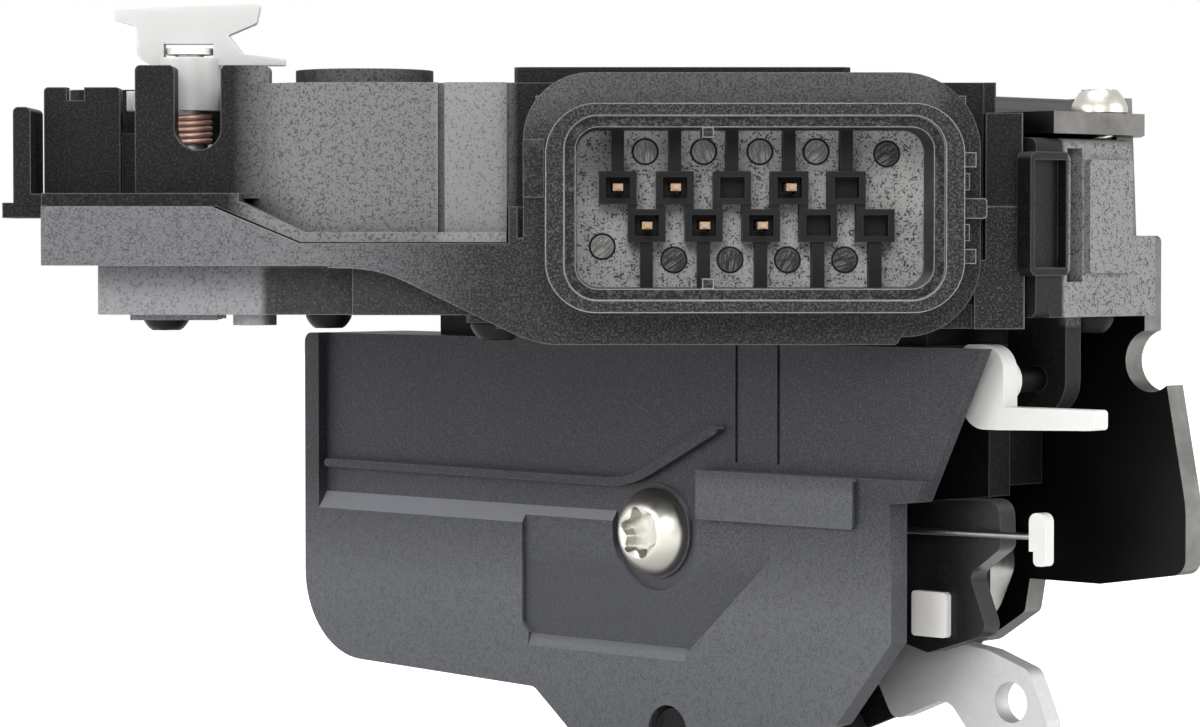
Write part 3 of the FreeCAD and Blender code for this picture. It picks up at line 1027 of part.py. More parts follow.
# Screws: the cover's one, the ones that close the housing from below, and the one on the plate's flange.
small_r = d["small_head_r"]
small_tall = d["small_head_tall"]
cover_screws = new_body("cover_screws", True)
pan_head(cover_screws, "deep", cover_screw, face + 0.8, -1, d["torx_head_r"], d["torx_head_tall"], d["screw_r"], 8.0)
housing_screws = new_body("housing_screws")
low_spots = [(x, y, screw_seat) for x, y in POSTS]
for x, y, seat in low_spots + [leg_xy(*BLOCK_SCREW) + (-9.8,)]:
    pan_head(housing_screws, "up", (x, y), seat + zero, -1, small_r, small_tall, d["small_screw_r"], 5.4)
plate_screw = new_body("plate_screw", True)
pan_head(plate_screw, "up", PLATE_SCREW, joggle_top, 1, small_r + 0.2, 2.2, d["small_screw_r"], 8.4)

document.recompute()

# Nothing is written unless every feature took effect and every sub-part is sound.
problems = []
for item in document.Objects:
    if "Invalid" in item.State or "Error" in item.State:
        problems.append("%s is %s" % (item.Name, item.State))
for body, feature, adds in FEATURES:
    before = feature.BaseFeature
    if adds is None or before is None or problems:
        continue
    change = feature.Shape.Volume - before.Shape.Volume
    if (adds and change < 1e-3) or (not adds and change > -1e-3):
        problems.append("%s changes nothing" % feature.Name)
for body in NODES:
    if body.Shape.isNull() or not body.Shape.isValid():
        problems.append("%s has no valid shape" % body.Label)
if problems:
    raise RuntimeError("; ".join(problems))
os.makedirs("parts", exist_ok=True)
for body in NODES:
    body.Shape.exportStep("parts/%s.step" % body.Label)
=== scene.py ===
import math
import bmesh
import bpy
from mathutils import Matrix, Vector


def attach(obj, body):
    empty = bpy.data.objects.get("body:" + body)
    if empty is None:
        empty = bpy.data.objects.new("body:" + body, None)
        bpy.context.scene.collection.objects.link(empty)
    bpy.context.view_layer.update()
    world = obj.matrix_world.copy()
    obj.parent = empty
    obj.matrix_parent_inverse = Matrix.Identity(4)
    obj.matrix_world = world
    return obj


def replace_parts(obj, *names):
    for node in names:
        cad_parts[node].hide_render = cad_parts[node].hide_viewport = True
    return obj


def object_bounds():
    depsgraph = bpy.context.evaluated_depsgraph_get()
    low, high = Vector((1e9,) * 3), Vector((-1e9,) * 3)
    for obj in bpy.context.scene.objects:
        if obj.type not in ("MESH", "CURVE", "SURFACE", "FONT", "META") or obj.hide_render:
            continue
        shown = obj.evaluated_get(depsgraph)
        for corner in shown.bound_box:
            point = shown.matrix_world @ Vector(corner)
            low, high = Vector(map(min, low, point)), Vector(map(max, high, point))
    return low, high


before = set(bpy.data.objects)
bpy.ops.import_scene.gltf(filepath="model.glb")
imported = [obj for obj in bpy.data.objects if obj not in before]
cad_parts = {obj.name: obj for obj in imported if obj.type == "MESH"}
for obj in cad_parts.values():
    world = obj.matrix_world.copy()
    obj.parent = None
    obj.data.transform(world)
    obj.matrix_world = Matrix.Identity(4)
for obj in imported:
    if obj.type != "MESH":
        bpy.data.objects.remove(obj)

start_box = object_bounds()

# Stage: a plain pale floor under the lowest point of the lock, in front of a white studio ground.
# Broad soft boxes stand at both sides and overhead, with a weaker one beside the camera.
MM = 0.001
HALF = math.sqrt(0.5)


def linear(code, alpha=1.0):
    """A colour written as sRGB hex, turned linear."""
    parts = [int(code[i:i + 2], 16) / 255 for i in (0, 2, 4)]
    return tuple(c / 12.92 if c <= 0.04045 else ((c + 0.055) / 1.055) ** 2.4 for c in parts) + (alpha,)


def add(tree, kind, settings=None, **links):
    """A shader node with its settings. Each link is an input's name and a socket or a plain value."""
    item = tree.nodes.new(kind)
    for key, value in (settings or {}).items():
        setattr(item, key, value)
    for key, value in links.items():
        name = key.replace("_", " ")
        target = item.inputs[int(key[1:])] if key[0] == "i" and key[1:].isdigit() else item.inputs[name]
        if isinstance(value, bpy.types.NodeSocket):
            tree.links.new(value, target)
        else:
            target.default_value = value
    return item


def new_material(name):
    """A material, its node tree and its surface shader."""
    material = bpy.data.materials.new(name)
    material.use_nodes = True
    return material, material.node_tree, material.node_tree.nodes["Principled BSDF"]


def plain_rays(tree):
    """1 on rays from the camera, through something clear or off something glossy, and else 0."""
    path = add(tree, "ShaderNodeLightPath")
    direct = add(tree, "ShaderNodeMath", {"operation": "MAXIMUM"}, i0=path.outputs["Is Camera Ray"],
                 i1=path.outputs["Is Transmission Ray"])
    return add(tree, "ShaderNodeMath", {"operation": "MAXIMUM"}, i0=direct.outputs[0],
               i1=path.outputs["Is Glossy Ray"]).outputs[0]


scene = bpy.context.scene
scene.view_settings.view_transform = "Standard"
world = bpy.data.worlds.new("studio")
scene.world = world
world.use_nodes = True
sky = world.node_tree
dim = add(sky, "ShaderNodeBackground", Color=(0.94, 0.97, 1.0, 1.0), Strength=0.22)
white = add(sky, "ShaderNodeBackground", Color=(1.0, 1.0, 1.0, 1.0), Strength=1.0)
chosen = add(sky, "ShaderNodeMixShader", Fac=plain_rays(sky), i1=dim.outputs[0], i2=white.outputs[0])
sky.links.new(chosen.outputs[0], sky.nodes["World Output"].inputs["Surface"])

floor_material, tree, shader = new_material("pale_floor_paint")
shader.inputs["Roughness"].default_value = 0.8
spots = add(tree, "ShaderNodeTexNoise", Scale=60.0, Detail=4.0)
tone = add(tree, "ShaderNodeMix", {"data_type": "RGBA"}, Factor=spots.outputs[0])
tone.inputs[6].default_value = linear("f7f7f6")
tone.inputs[7].default_value = linear("ffffff")
tree.links.new(tone.outputs[2], shader.inputs["Base Color"])
place = add(tree, "ShaderNodeNewGeometry").outputs["Position"]
away = add(tree, "ShaderNodeVectorMath", {"operation": "LENGTH"}, i0=place)
SHADOW_ENDS, ALL_WHITE = 0.2, 0.7  # metres from the lock
glow = add(tree, "ShaderNodeMapRange", Value=away.outputs["Value"], i1=SHADOW_ENDS, i2=ALL_WHITE,
           i3=0.45, i4=1.0)
lit = add(tree, "ShaderNodeMath", {"operation": "MULTIPLY"}, i0=glow.outputs[0], i1=plain_rays(tree))
shader.inputs["Emission Color"].default_value = (1.0, 1.0, 1.0, 1.0)
tree.links.new(lit.outputs[0], shader.inputs["Emission Strength"])
FLOOR_SIZE = 3.0
UNDER_LOCK = 0.2 * MM
bpy.ops.mesh.primitive_plane_add(size=FLOOR_SIZE, location=(0, 0, start_box[0][2] - UNDER_LOCK))
floor = bpy.context.object
floor.name = "pale_floor"
floor.data.materials.append(floor_material)

# Each soft box: name, place in metres, width in metres, watts.
LIGHTS = (("left_box", (-0.55, -0.30, 0.14), 0.40, 2.4), ("right_box", (0.60, -0.22, 0.16), 0.50, 3.0),
          ("top_box", (-0.05, -0.05, 0.70), 0.50, 5.0), ("camera_box", (-0.05, -0.66, 0.22), 0.30, 2.2))
lock_middle = Vector((-0.010, 0.030, -0.015))
for name, place, size, power in LIGHTS:
    lamp = bpy.data.lights.new(name, "AREA")
    lamp.shape = "RECTANGLE"
    lamp.size = size
    lamp.size_y = size * 0.8
    lamp.energy = power
    item = bpy.data.objects.new(name, lamp)
    item.location = place
    item.rotation_euler = (lock_middle - Vector(place)).to_track_quat("-Z", "Y").to_euler()
    scene.collection.objects.link(item)

# The camera looks level from 340 mm in front of the connector's rim, tilted slightly down.
EYE = (-13.6, -340.0, -2.8)
TILT_DOWN = 1.825
eye = bpy.data.cameras.new("photo_view")
eye.sensor_width = 36.0
eye.lens = 116.28
eye.clip_start = 0.01
camera = bpy.data.objects.new("photo_view", eye)
camera.location = [part * MM for part in EYE]
camera.rotation_euler = (math.radians(90.0 - TILT_DOWN), 0.0, 0.0)
scene.collection.objects.link(camera)
scene.camera = camera


# Actuator base, cover and connector socket: glass-filled nylon, injection moulded and spark-eroded matt.
# Short fibres show as pale specks, and the moulded edges are drawn paler: partly handling wear, partly
# painted highlight.
# The real grain is about 0.05 mm, and it is drawn at 0.2 mm so that it shows.
def moulded(name, colour, pale, rough=0.5, speck=0.35, edge=0.35, grain=0.2, dust=0.25, low_tone=None,
            films=(), shine=0.25, streak=(1.0, 1.0, 1.0), pits=0.3, ledge=0.3, lint_top=0.80):
    """A matt moulding. grain is the eroded grain in mm, speck the fibres, edge how much paler the edges are
    drawn, partly as handling wear and partly as painted highlight.

    Each film is a colour and its fades (direction, start mm, full mm), which bound where it lies. Most films
    are painted light and shade.
    pits is the share of film that the small dark pits keep. ledge is how much paler faces that point up are
    drawn, as painted top light;
    dust what lies everywhere, lint_top where that dust is full. low_tone is the darker of two tones.
    """
    material, tree, shader = new_material(name)
    place = add(tree, "ShaderNodeTexCoord").outputs["Object"]
    fine = add(tree, "ShaderNodeTexNoise", Vector=place, Scale=1000.0 / grain, Detail=2.0, Roughness=0.5)
    cloud = add(tree, "ShaderNodeTexNoise", Vector=place, Scale=70.0, Detail=5.0, Roughness=0.62)
    specks = add(tree, "ShaderNodeMapRange", Value=fine.outputs[0], i1=0.46, i2=0.74)
    drawn = add(tree, "ShaderNodeMapping", Vector=place, Scale=streak)
    dusty = add(tree, "ShaderNodeTexNoise", Vector=drawn.outputs[0], Scale=1800.0, Detail=5.0, Roughness=0.75)
    lint = add(tree, "ShaderNodeMapRange", Value=dusty.outputs[0], i1=0.52, i2=lint_top)
    pitted = add(tree, "ShaderNodeMath", {"operation": "ADD"}, i0=fine.outputs[0], i1=dusty.outputs[0])
    corner = add(tree, "ShaderNodeBevel", {"samples": 6}, Radius=0.2 * MM)
    flat = add(tree, "ShaderNodeNewGeometry")
    agree = add(tree, "ShaderNodeVectorMath", {"operation": "DOT_PRODUCT"},
                i0=corner.outputs[0], i1=flat.outputs["Normal"])
    at_edges = add(tree, "ShaderNodeMapRange", Value=agree.outputs["Value"], i1=0.995, i2=0.86)  # at edges only
    # worn: the paler edges, partly handling wear and partly painted highlight.
    worn = add(tree, "ShaderNodeMath", {"operation": "MULTIPLY"}, i0=at_edges.outputs[0], i1=cloud.outputs[0])
    base = add(tree, "ShaderNodeMix", {"data_type": "RGBA"}, Factor=cloud.outputs[0])
    base.inputs[6].default_value = linear(low_tone or colour)
    base.inputs[7].default_value = linear(colour)
    colour_out = base.outputs[2]
    # Films: colours laid over bounded regions, most of them painted light and shade.
    for tone, fades in films:
        share = None
        for towards, start, full in fades:
            reach = add(tree, "ShaderNodeVectorMath", {"operation": "DOT_PRODUCT"}, i0=place, i1=towards)
            fade = add(tree, "ShaderNodeMapRange", Value=reach.outputs["Value"], i1=start * MM, i2=full * MM)
            share = fade.outputs[0] if share is None else add(
                tree, "ShaderNodeMath", {"operation": "MULTIPLY"}, i0=share, i1=fade.outputs[0]).outputs[0]
        pit_gaps = add(tree, "ShaderNodeMapRange", Value=pitted.outputs[0], i1=0.84, i2=1.0, i3=pits)
        share = add(tree, "ShaderNodeMath", {"operation": "MULTIPLY"}, i0=share, i1=pit_gaps.outputs[0])
        filmed = add(tree, "ShaderNodeMix", {"data_type": "RGBA"}, Factor=share.outputs[0])
        tree.links.new(colour_out, filmed.inputs[6])
        filmed.inputs[7].default_value = linear(tone)
        colour_out = filmed.outputs[2]
    # Faces that point up are drawn paler: painted top light.
    slope = add(tree, "ShaderNodeSeparateXYZ", Vector=flat.outputs["Normal"])
    faces_up = add(tree, "ShaderNodeMapRange", Value=slope.outputs[2], i1=0.2, i2=0.55)
    amounts = ((faces_up.outputs[0], ledge), (specks.outputs[0], speck), (lint.outputs[0], dust),
               (worn.outputs[0], edge * 1.6))
    for amount, share in amounts:
        scaled = add(tree, "ShaderNodeMath", {"operation": "MULTIPLY", "use_clamp": True},
                     i0=amount, i1=share)
        mixed = add(tree, "ShaderNodeMix", {"data_type": "RGBA"}, Factor=scaled.outputs[0])
        tree.links.new(colour_out, mixed.inputs[6])
        mixed.inputs[7].default_value = linear(pale)
        colour_out = mixed.outputs[2]
    tree.links.new(colour_out, shader.inputs["Base Color"])
    shader.inputs["Specular IOR Level"].default_value = shine
    gloss = add(tree, "ShaderNodeMapRange", Value=cloud.outputs[0], i3=rough - 0.08, i4=rough + 0.12)
    tree.links.new(gloss.outputs[0], shader.inputs["Roughness"])
    bump = add(tree, "ShaderNodeBump", Height=fine.outputs[0], Strength=0.35, Distance=0.03 * MM)
    tree.links.new(bump.outputs[0], shader.inputs["Normal"])
    return material


def dress(node, material, bevel=0.12):
    """Gives a CAD node its material and slightly rounded edges."""
    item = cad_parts[node]
    item.data.materials.clear()
    item.data.materials.append(material)
    if bevel:
        rounded = item.modifiers.new("edge_round", "BEVEL")
        rounded.width = bevel * MM
        rounded.segments = 2
        rounded.limit_method = "ANGLE"
        rounded.angle_limit = math.radians(38)
    return item


# Directions that bound the films: ALONG runs down the latch leg, ACROSS through its thickness.
RIGHT = Vector((1.0, 0.0, 0.0))
REAR = Vector((0.0, 1.0, 0.0))
UP = Vector((0.0, 0.0, 1.0))
ALONG = Vector((HALF, -HALF, 0.0))
ACROSS = Vector((HALF, HALF, 0.0))
UPPER_FLANGE = ((UP, 5.0, 10.5), (RIGHT, 18.0, 16.0))
# The arm is drawn paler towards its left end: painted light from the left.
LEFT_ARM_LIGHT = ((RIGHT, -24.0, -40.0),)
END_BLOCK = ((RIGHT, 18.0, 20.5),)
TRAY_SIDE = ((REAR, 9.8, 10.2), (REAR, 22.0, 14.0), (UP, -5.0, -5.4))
# The tray's underside is drawn pale left of the arm and near black under it: painted light, and painted
# shadow under the arm.
LIT_TRAY = TRAY_SIDE + ((RIGHT, -43.6, -44.4), (UP, -4.0, -8.5))
SHADOWED_TRAY = TRAY_SIDE + ((RIGHT, -44.6, -43.8),)
dress("actuator_base", moulded(
    "tray_nylon", "1c1c1d", "8a8a8b", 0.52, speck=0.22, edge=0.5, low_tone="151516", dust=0.18, shine=0.14,
    pits=0.5, films=(("444445", UPPER_FLANGE), ("5c5c5e", LEFT_ARM_LIGHT), ("808082", LIT_TRAY),
                     ("131313", SHADOWED_TRAY), ("050505", END_BLOCK))))
# The wheel wall and the panel beside it are drawn mid grey on the near-black lid: painted light on the front
# walls.
LIT_WHEEL_WALL = ((RIGHT, -47.0, -44.5), (RIGHT, -21.0, -23.0), (REAR, 20.0, 11.0))
LIT_SECOND_PANEL = LIT_WHEEL_WALL + ((RIGHT, -28.6, -27.6),)
dress("actuator_cover", moulded(
    "lid_nylon", "0b0b0c", "808081", 0.52, speck=0.1, edge=0.5, low_tone="080808", dust=0.06, shine=0.11,
    pits=0.4, films=(("69696a", LIT_WHEEL_WALL), ("7c7c7d", LIT_SECOND_PANEL))))
SCUFFED_FLOOR = ((REAR, 11.2, 11.8),)
# The socket's left part is drawn near black: painted shadow of the shroud. Its strong edge setting paints
# highlights along the rim's edges, beside some wear.
SHADOWED_LEFT_RIM = ((RIGHT, -15.5, -17.5),)
dress("connector_socket", moulded(
    "socket_nylon", "161617", "9a9a9b", 0.5, speck=0.2, edge=1.1, low_tone="0f0f10", pits=0.12, shine=0.14,
    films=(("c2c0be", SCUFFED_FLOOR), ("0a0a0a", SHADOWED_LEFT_RIM))))
dress("terminal_carrier", moulded("carrier_nylon", "0b0b0c", "4a4a4c", 0.45, speck=0.06, edge=0.3,
                                  dust=0.05, shine=0.15), 0.06)

# Latch cover and latch housing: the same nylon from another tool, with a bluish cast and finer grain.
# Painted light and shade: the cover's lower half and up-facing slope are drawn paler, its recessed field
# darker, and the housing's end panel paler.
# The lower half is drawn paler than the upper field under the actuator, and the recessed field darker:
# painted light, and painted shade under the actuator and in the recess. ledge=0.8 paints top light on the
# up-facing slope.
LIT_LOWER_HALF = ((UP, -27.0, -38.0),)
SHADED_RECESS = ((UP, -31.0, -35.0), (ACROSS, 19.2, 19.4))
RAISED_BAR = ((UP, -24.0, -26.5), (ACROSS, 18.8, 18.6))
dress("latch_cover", moulded(
    "latch_nylon", "222327", "7d7e83", 0.5, speck=0.18, edge=0.1, grain=0.17, dust=0.12, low_tone="1c1d20",
    ledge=0.8, pits=0.6,
    films=(("515256", LIT_LOWER_HALF), ("303135", SHADED_RECESS), ("46474b", RAISED_BAR))), 0.2)
# The housing's end panel is drawn pale grey on the near-black nylon: painted light from the right.
LIT_END_PANEL = ((UP, -10.9, -10.5), (ACROSS, 27.0, 27.5), (ALONG, 9.0, 11.5))
dress("latch_housing", moulded(
    "latch_nylon_inner", "070708", "7a7a7b", 0.5, speck=0.06, edge=0.3, dust=0.04, low_tone="050505",
    shine=0.15, ledge=0.1, films=(("7a797a", LIT_END_PANEL),)))

# Socket floor: scuffed ejector marks between the cells, where the mould's pins pushed the part out.
# Each is a shallow scraped disc in a dark seam on the floor plate. Scraped nylon shows pale streaks.
def around(shape, sides, radius_at, z):
    """A ring of vertices about Z. radius_at gives the radius in mm for the k-th angle."""
    ring = []
    for k in range(sides):
        angle = 2 * math.pi * k / sides
        r = radius_at(k, angle)
        ring.append(shape.verts.new((r * math.cos(angle) * MM, r * math.sin(angle) * MM, z * MM)))
    return ring


def bridged(shape, rings, inward=False):
    """Quads between each ring of vertices and the next."""
    sides = len(rings[0])
    for first, second in zip(rings, rings[1:]):
        for k in range(sides):
            n = (k + 1) % sides
            corners = (first[k], first[n], second[n], second[k])
            shape.faces.new(tuple(reversed(corners)) if inward else corners)


def capped(shape, rings):
    """Closes both ends of a row of rings."""
    shape.faces.new(list(reversed(rings[0])))
    shape.faces.new(rings[-1])


def turned(name, profile, at, axis, material, sides=40):
    """A lathe solid from (along, radius) pairs in mm."""
    shape = bmesh.new()
    rings = [around(shape, sides, lambda k, angle: radius, along) for along, radius in profile]
    bridged(shape, rings)
    capped(shape, rings)
    return finished(shape, name, at, axis, material)


def finished(shape, name, at, axis, material):
    """Turns a mesh being built into an object. Its own Z goes along axis, from the point at in mm."""
    bmesh.ops.recalc_face_normals(shape, faces=shape.faces)
    mesh = bpy.data.meshes.new(name)
    shape.to_mesh(mesh)
    shape.free()
    for face in mesh.polygons:
        face.use_smooth = True
    mesh.materials.append(material)
    item = bpy.data.objects.new(name, mesh)
    turn = Vector((0, 0, 1)).rotation_difference(Vector(axis))
    item.matrix_world = Matrix.Translation(Vector(at) * MM) @ turn.to_matrix().to_4x4()
    scene.collection.objects.link(item)
    edges = item.modifiers.new("sharp_edges", "EDGE_SPLIT")
    edges.split_angle = math.radians(35)
    return item


SCRATCHES = (3.0, 0.35, 1.0)
bright_scuff = moulded("scraped_ejector_mark", "908e8c", "d6d4d2", 0.5, speck=0.3, dust=1.0,
                       low_tone="646260", streak=SCRATCHES, lint_top=0.64)
dull_scuff = moulded("worn_ejector_mark", "343332", "b4b2b0", 0.5, speck=0.2, dust=1.0,
                     low_tone="242323", streak=SCRATCHES, lint_top=0.70)
seam = moulded("ejector_seam", "060606", "303030", 0.6, speck=0.0, dust=0.0)
FLOOR_Y = 12.0
# Each mark: x and z of its centre in mm, the turn of its scratches, its finish.
MARKS = ((-9.5, 5.2, 0.1, bright_scuff), (-4.2, 5.2, 0.5, bright_scuff), (0.9, 5.2, 0.2, bright_scuff),
         (6.0, 5.2, -0.7, bright_scuff), (12.4, 5.0, -0.9, dull_scuff), (-13.4, -3.4, -0.8, bright_scuff),
         (-6.9, -4.6, -0.9, dull_scuff), (-1.8, -4.6, -0.1, dull_scuff), (3.4, -4.6, -0.5, dull_scuff),
         (8.6, -4.6, -1.2, dull_scuff))
DISC = ((-0.02, 1.05), (0.05, 1.05), (0.06, 1.0), (0.03, 0.02))
SEAM = ((-0.02, 1.24), (0.07, 1.24), (0.07, 1.04), (-0.02, 1.04))
for x, z, tilt, finish in MARKS:
    disc = turned("ejector_mark", DISC, (x, FLOOR_Y, z), -REAR, finish)
    disc.matrix_world = disc.matrix_world @ Matrix.Rotation(tilt, 4, "Z")
    ring = turned("ejector_seam", SEAM, (x, FLOOR_Y, z), -REAR, seam)
    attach(disc, "housing")
    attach(ring, "housing")

# Terminal pins and lead frame: stamped brass, tinned on the pins, with darker rolled streaks.
def metal(name, colour, dark, rough=0.3, streak=(1.0, 1.0, 0.1), spots=0.3, fine=500.0, bumps=0.25):
    """A worn metal. dark is the colour in its stains, streak stretches the drawn or rolled marks."""
    material, tree, shader = new_material(name)
    place = add(tree, "ShaderNodeTexCoord").outputs["Object"]
    along = add(tree, "ShaderNodeMapping", Vector=place, Scale=streak)
    lines = add(tree, "ShaderNodeTexNoise", Vector=along.outputs[0], Scale=fine * 4, Detail=4.0,
                Roughness=0.6)
    stain = add(tree, "ShaderNodeTexNoise", Vector=place, Scale=fine, Detail=6.0, Roughness=0.65)
    mask = add(tree, "ShaderNodeMapRange", Value=stain.outputs[0], i1=0.5, i2=0.75, i4=spots)
    tone = add(tree, "ShaderNodeMix", {"data_type": "RGBA"}, Factor=mask.outputs[0])
    tone.inputs[6].default_value = linear(colour)
    tone.inputs[7].default_value = linear(dark)
    tree.links.new(tone.outputs[2], shader.inputs["Base Color"])
    shader.inputs["Metallic"].default_value = 1.0
    gloss = add(tree, "ShaderNodeMapRange", Value=lines.outputs[0], i3=rough - 0.08, i4=rough + 0.16)
    tree.links.new(gloss.outputs[0], shader.inputs["Roughness"])
    bump = add(tree, "ShaderNodeBump", Height=lines.outputs[0], Strength=bumps, Distance=0.01 * MM)
    tree.links.new(bump.outputs[0], shader.inputs["Normal"])
    return material


# Tinned brass looks dull and warm where the tin is worn. The lead frame is the bare strip.
dress("terminal_pins", metal("tinned_brass", "937c69", "463930", 0.5), 0.05)
brass = metal("stamped_brass", "c9a45a", "7d6432", 0.35)
dress("lead_frame", brass, 0.08)

# Latch plate: pressed steel, blanked, then black electro-coated. The blanked edges stay paler and streaked.
# The faces across the sheet are told apart by their direction.
def coated_plate(name, skin, edge_colour, rough=0.42):
    """Black electro-coat: even and slightly glossy, with the blanked edges showing through pale."""
    material, tree, shader = new_material(name)
    place = add(tree, "ShaderNodeTexCoord").outputs["Object"]
    flat = add(tree, "ShaderNodeNewGeometry")
    agree = add(tree, "ShaderNodeVectorMath", {"operation": "DOT_PRODUCT"},
                i0=flat.outputs["Normal"], i1=ACROSS)
    size = add(tree, "ShaderNodeMath", {"operation": "ABSOLUTE"}, i0=agree.outputs["Value"])
    up = add(tree, "ShaderNodeSeparateXYZ", Vector=flat.outputs["Normal"])
    upright = add(tree, "ShaderNodeMath", {"operation": "ABSOLUTE"}, i0=up.outputs[2])
    either = add(tree, "ShaderNodeMath", {"operation": "MAXIMUM"}, i0=size.outputs[0], i1=upright.outputs[0])
    cut = add(tree, "ShaderNodeMapRange", Value=either.outputs[0], i1=0.9, i2=0.6)
    cloud = add(tree, "ShaderNodeTexNoise", Vector=place, Scale=180.0, Detail=6.0, Roughness=0.7)
    share = add(tree, "ShaderNodeMath", {"operation": "MULTIPLY"}, i0=cut.outputs[0], i1=cloud.outputs[0])
    tone = add(tree, "ShaderNodeMix", {"data_type": "RGBA"}, Factor=share.outputs[0])
    tone.inputs[6].default_value = linear(skin)
    tone.inputs[7].default_value = linear(edge_colour)
    peel = add(tree, "ShaderNodeTexNoise", Vector=place, Scale=2200.0, Detail=2.0)
    tree.links.new(tone.outputs[2], shader.inputs["Base Color"])
    gloss = add(tree, "ShaderNodeMapRange", Value=cloud.outputs[0], i3=rough - 0.1, i4=rough + 0.12)
    tree.links.new(gloss.outputs[0], shader.inputs["Roughness"])
    shader.inputs["Specular IOR Level"].default_value = 0.15
    bump = add(tree, "ShaderNodeBump", Height=peel.outputs[0], Strength=0.3, Distance=0.012 * MM)
    tree.links.new(bump.outputs[0], shader.inputs["Normal"])
    return material


dress("latch_plate", coated_plate("black_coated_steel", "030303", "8e8c88"), 0.15)

# Claw, pawl and their pins: hardened steel, tumbled and oiled. The claw has a glossy moulded jacket.
# The support plate behind them is bare rolled sheet. The lock lever's pin is blackened, so it stays unseen.
hard_steel = metal("tumbled_steel", "9b9a97", "5d5b58", 0.34, bumps=0.2)
for name in ("claw", "pawl"):
    dress(name, hard_steel, 0.15)
for name in ("claw_pin", "pawl_pin", "support_plate", "wheel_axle", "motor_shaft"):
    dress(name, metal(name + "_steel", "a8a7a4", "6a6865", 0.3), 0.1)
dress("inside_lever_pin", metal("bright_drawn_steel", "c4c3c1", "8a8886", 0.55), 0.1)
dress("lock_lever_pin", metal("blackened_steel", "1c1b1b", "100f0f", 0.5), 0.1)
dress("claw_jacket", moulded("jacket_elastomer", "2a2a2b", "7c7c7c", 0.34, speck=0.05, dust=0.15), 0.12)
dress("striker_bumper", moulded("bumper_rubber", "222222", "6e6e6c", 0.7, speck=0.0, dust=0.3), 0.2)

# Outside release lever: pressed sheet, zinc plated. The tumbled plate looks pale grey and scatters light.
# Its passivation leaves faint clouds.
def plated(name, colour, tint, rough=0.26):
    """Zinc or tin plate, or a dull phosphate coat: faint clouds over a fine crystalline grain."""
    material, tree, shader = new_material(name)
    place = add(tree, "ShaderNodeTexCoord").outputs["Object"]
    film = add(tree, "ShaderNodeTexNoise", Vector=place, Scale=150.0, Detail=4.0, Roughness=0.6)
    tone = add(tree, "ShaderNodeMix", {"data_type": "RGBA"}, Factor=film.outputs[0])
    tone.inputs[6].default_value = linear(colour)
    tone.inputs[7].default_value = linear(tint)
    fine = add(tree, "ShaderNodeTexNoise", Vector=place, Scale=1900.0, Detail=4.0)
    tree.links.new(tone.outputs[2], shader.inputs["Base Color"])
    shader.inputs["Metallic"].default_value = 1.0
    gloss = add(tree, "ShaderNodeMapRange", Value=fine.outputs[0], i3=rough - 0.06, i4=rough + 0.14)
    tree.links.new(gloss.outputs[0], shader.inputs["Roughness"])
    bump = add(tree, "ShaderNodeBump", Height=fine.outputs[0], Strength=0.25, Distance=0.012 * MM)
    tree.links.new(bump.outputs[0], shader.inputs["Normal"])
    return material


dress("outside_release_lever", plated("bright_zinc", "bcbcbc", "a6a6a5", 0.62), 0.2)

# Levers and pads of acetal: translucent inside lever, white lock lever, spring tab and lifter pad.
# The pawl lifter is the same resin in black.
def acetal(name, colour, shade, rough=0.36, deep=0.25, seep=0.7):
    """Moulded acetal: waxy and milky. deep is how much light enters, seep how far it goes in mm."""
    material, tree, shader = new_material(name)
    place = add(tree, "ShaderNodeTexCoord").outputs["Object"]
    flow = add(tree, "ShaderNodeTexNoise", Vector=place, Scale=130.0, Detail=4.0, Roughness=0.6)
    tone = add(tree, "ShaderNodeMix", {"data_type": "RGBA"}, Factor=flow.outputs[0])
    tone.inputs[6].default_value = linear(shade)
    tone.inputs[7].default_value = linear(colour)
    tree.links.new(tone.outputs[2], shader.inputs["Base Color"])
    shader.inputs["Subsurface Weight"].default_value = deep
    shader.inputs["Subsurface Radius"].default_value = (1.0, 0.95, 0.85)
    shader.inputs["Subsurface Scale"].default_value = seep * MM
    gloss = add(tree, "ShaderNodeMapRange", Value=flow.outputs[0], i3=rough - 0.06, i4=rough + 0.12)
    tree.links.new(gloss.outputs[0], shader.inputs["Roughness"])
    fine = add(tree, "ShaderNodeTexNoise", Vector=place, Scale=1500.0, Detail=3.0)
    bump = add(tree, "ShaderNodeBump", Height=fine.outputs[0], Strength=0.2, Distance=0.015 * MM)
    tree.links.new(bump.outputs[0], shader.inputs["Normal"])
    return material


dress("inside_release_lever", acetal("natural_acetal", "bdbdbc", "b2b2b0", deep=0.5, seep=1.4), 0.15)
white_resin = acetal("white_acetal", "cbcac8", "bab9b6")
for name in ("lock_lever", "spring_tab", "worm_wheel"):
    dress(name, white_resin, 0.12)
dress("lifter_pad", acetal("lifter_acetal", "e4e2df", "d2d0cd"), 0.12)
dress("pawl_lifter", moulded("black_acetal", "101011", "6a6a6a", 0.3, speck=0.03, dust=0.08, edge=0.3), 0.15)

# Motor: drawn and plated steel can with a moulded end cap. The two switches are sealed black boxes.
dress("lock_motor", plated("tinned_can", "c9c8c4", "aaa89e", 0.3), 0.3)
for name in ("motor_end_cap", "micro_switches"):
    dress(name, moulded(name + "_resin", "262628", "8a8a8a", 0.5), 0.15)

# Springs: cold-wound music wire, lightly oiled. Each is a true coil in place of the solid's ridged sleeve.
# The inside lever's spring has a thin copper-coloured finish, as in the photo.
def leg(s, w, z):
    """A point of the latch leg, in mm, in the row frame."""
    return Vector(((s + w) * HALF, (w - s) * HALF, z))


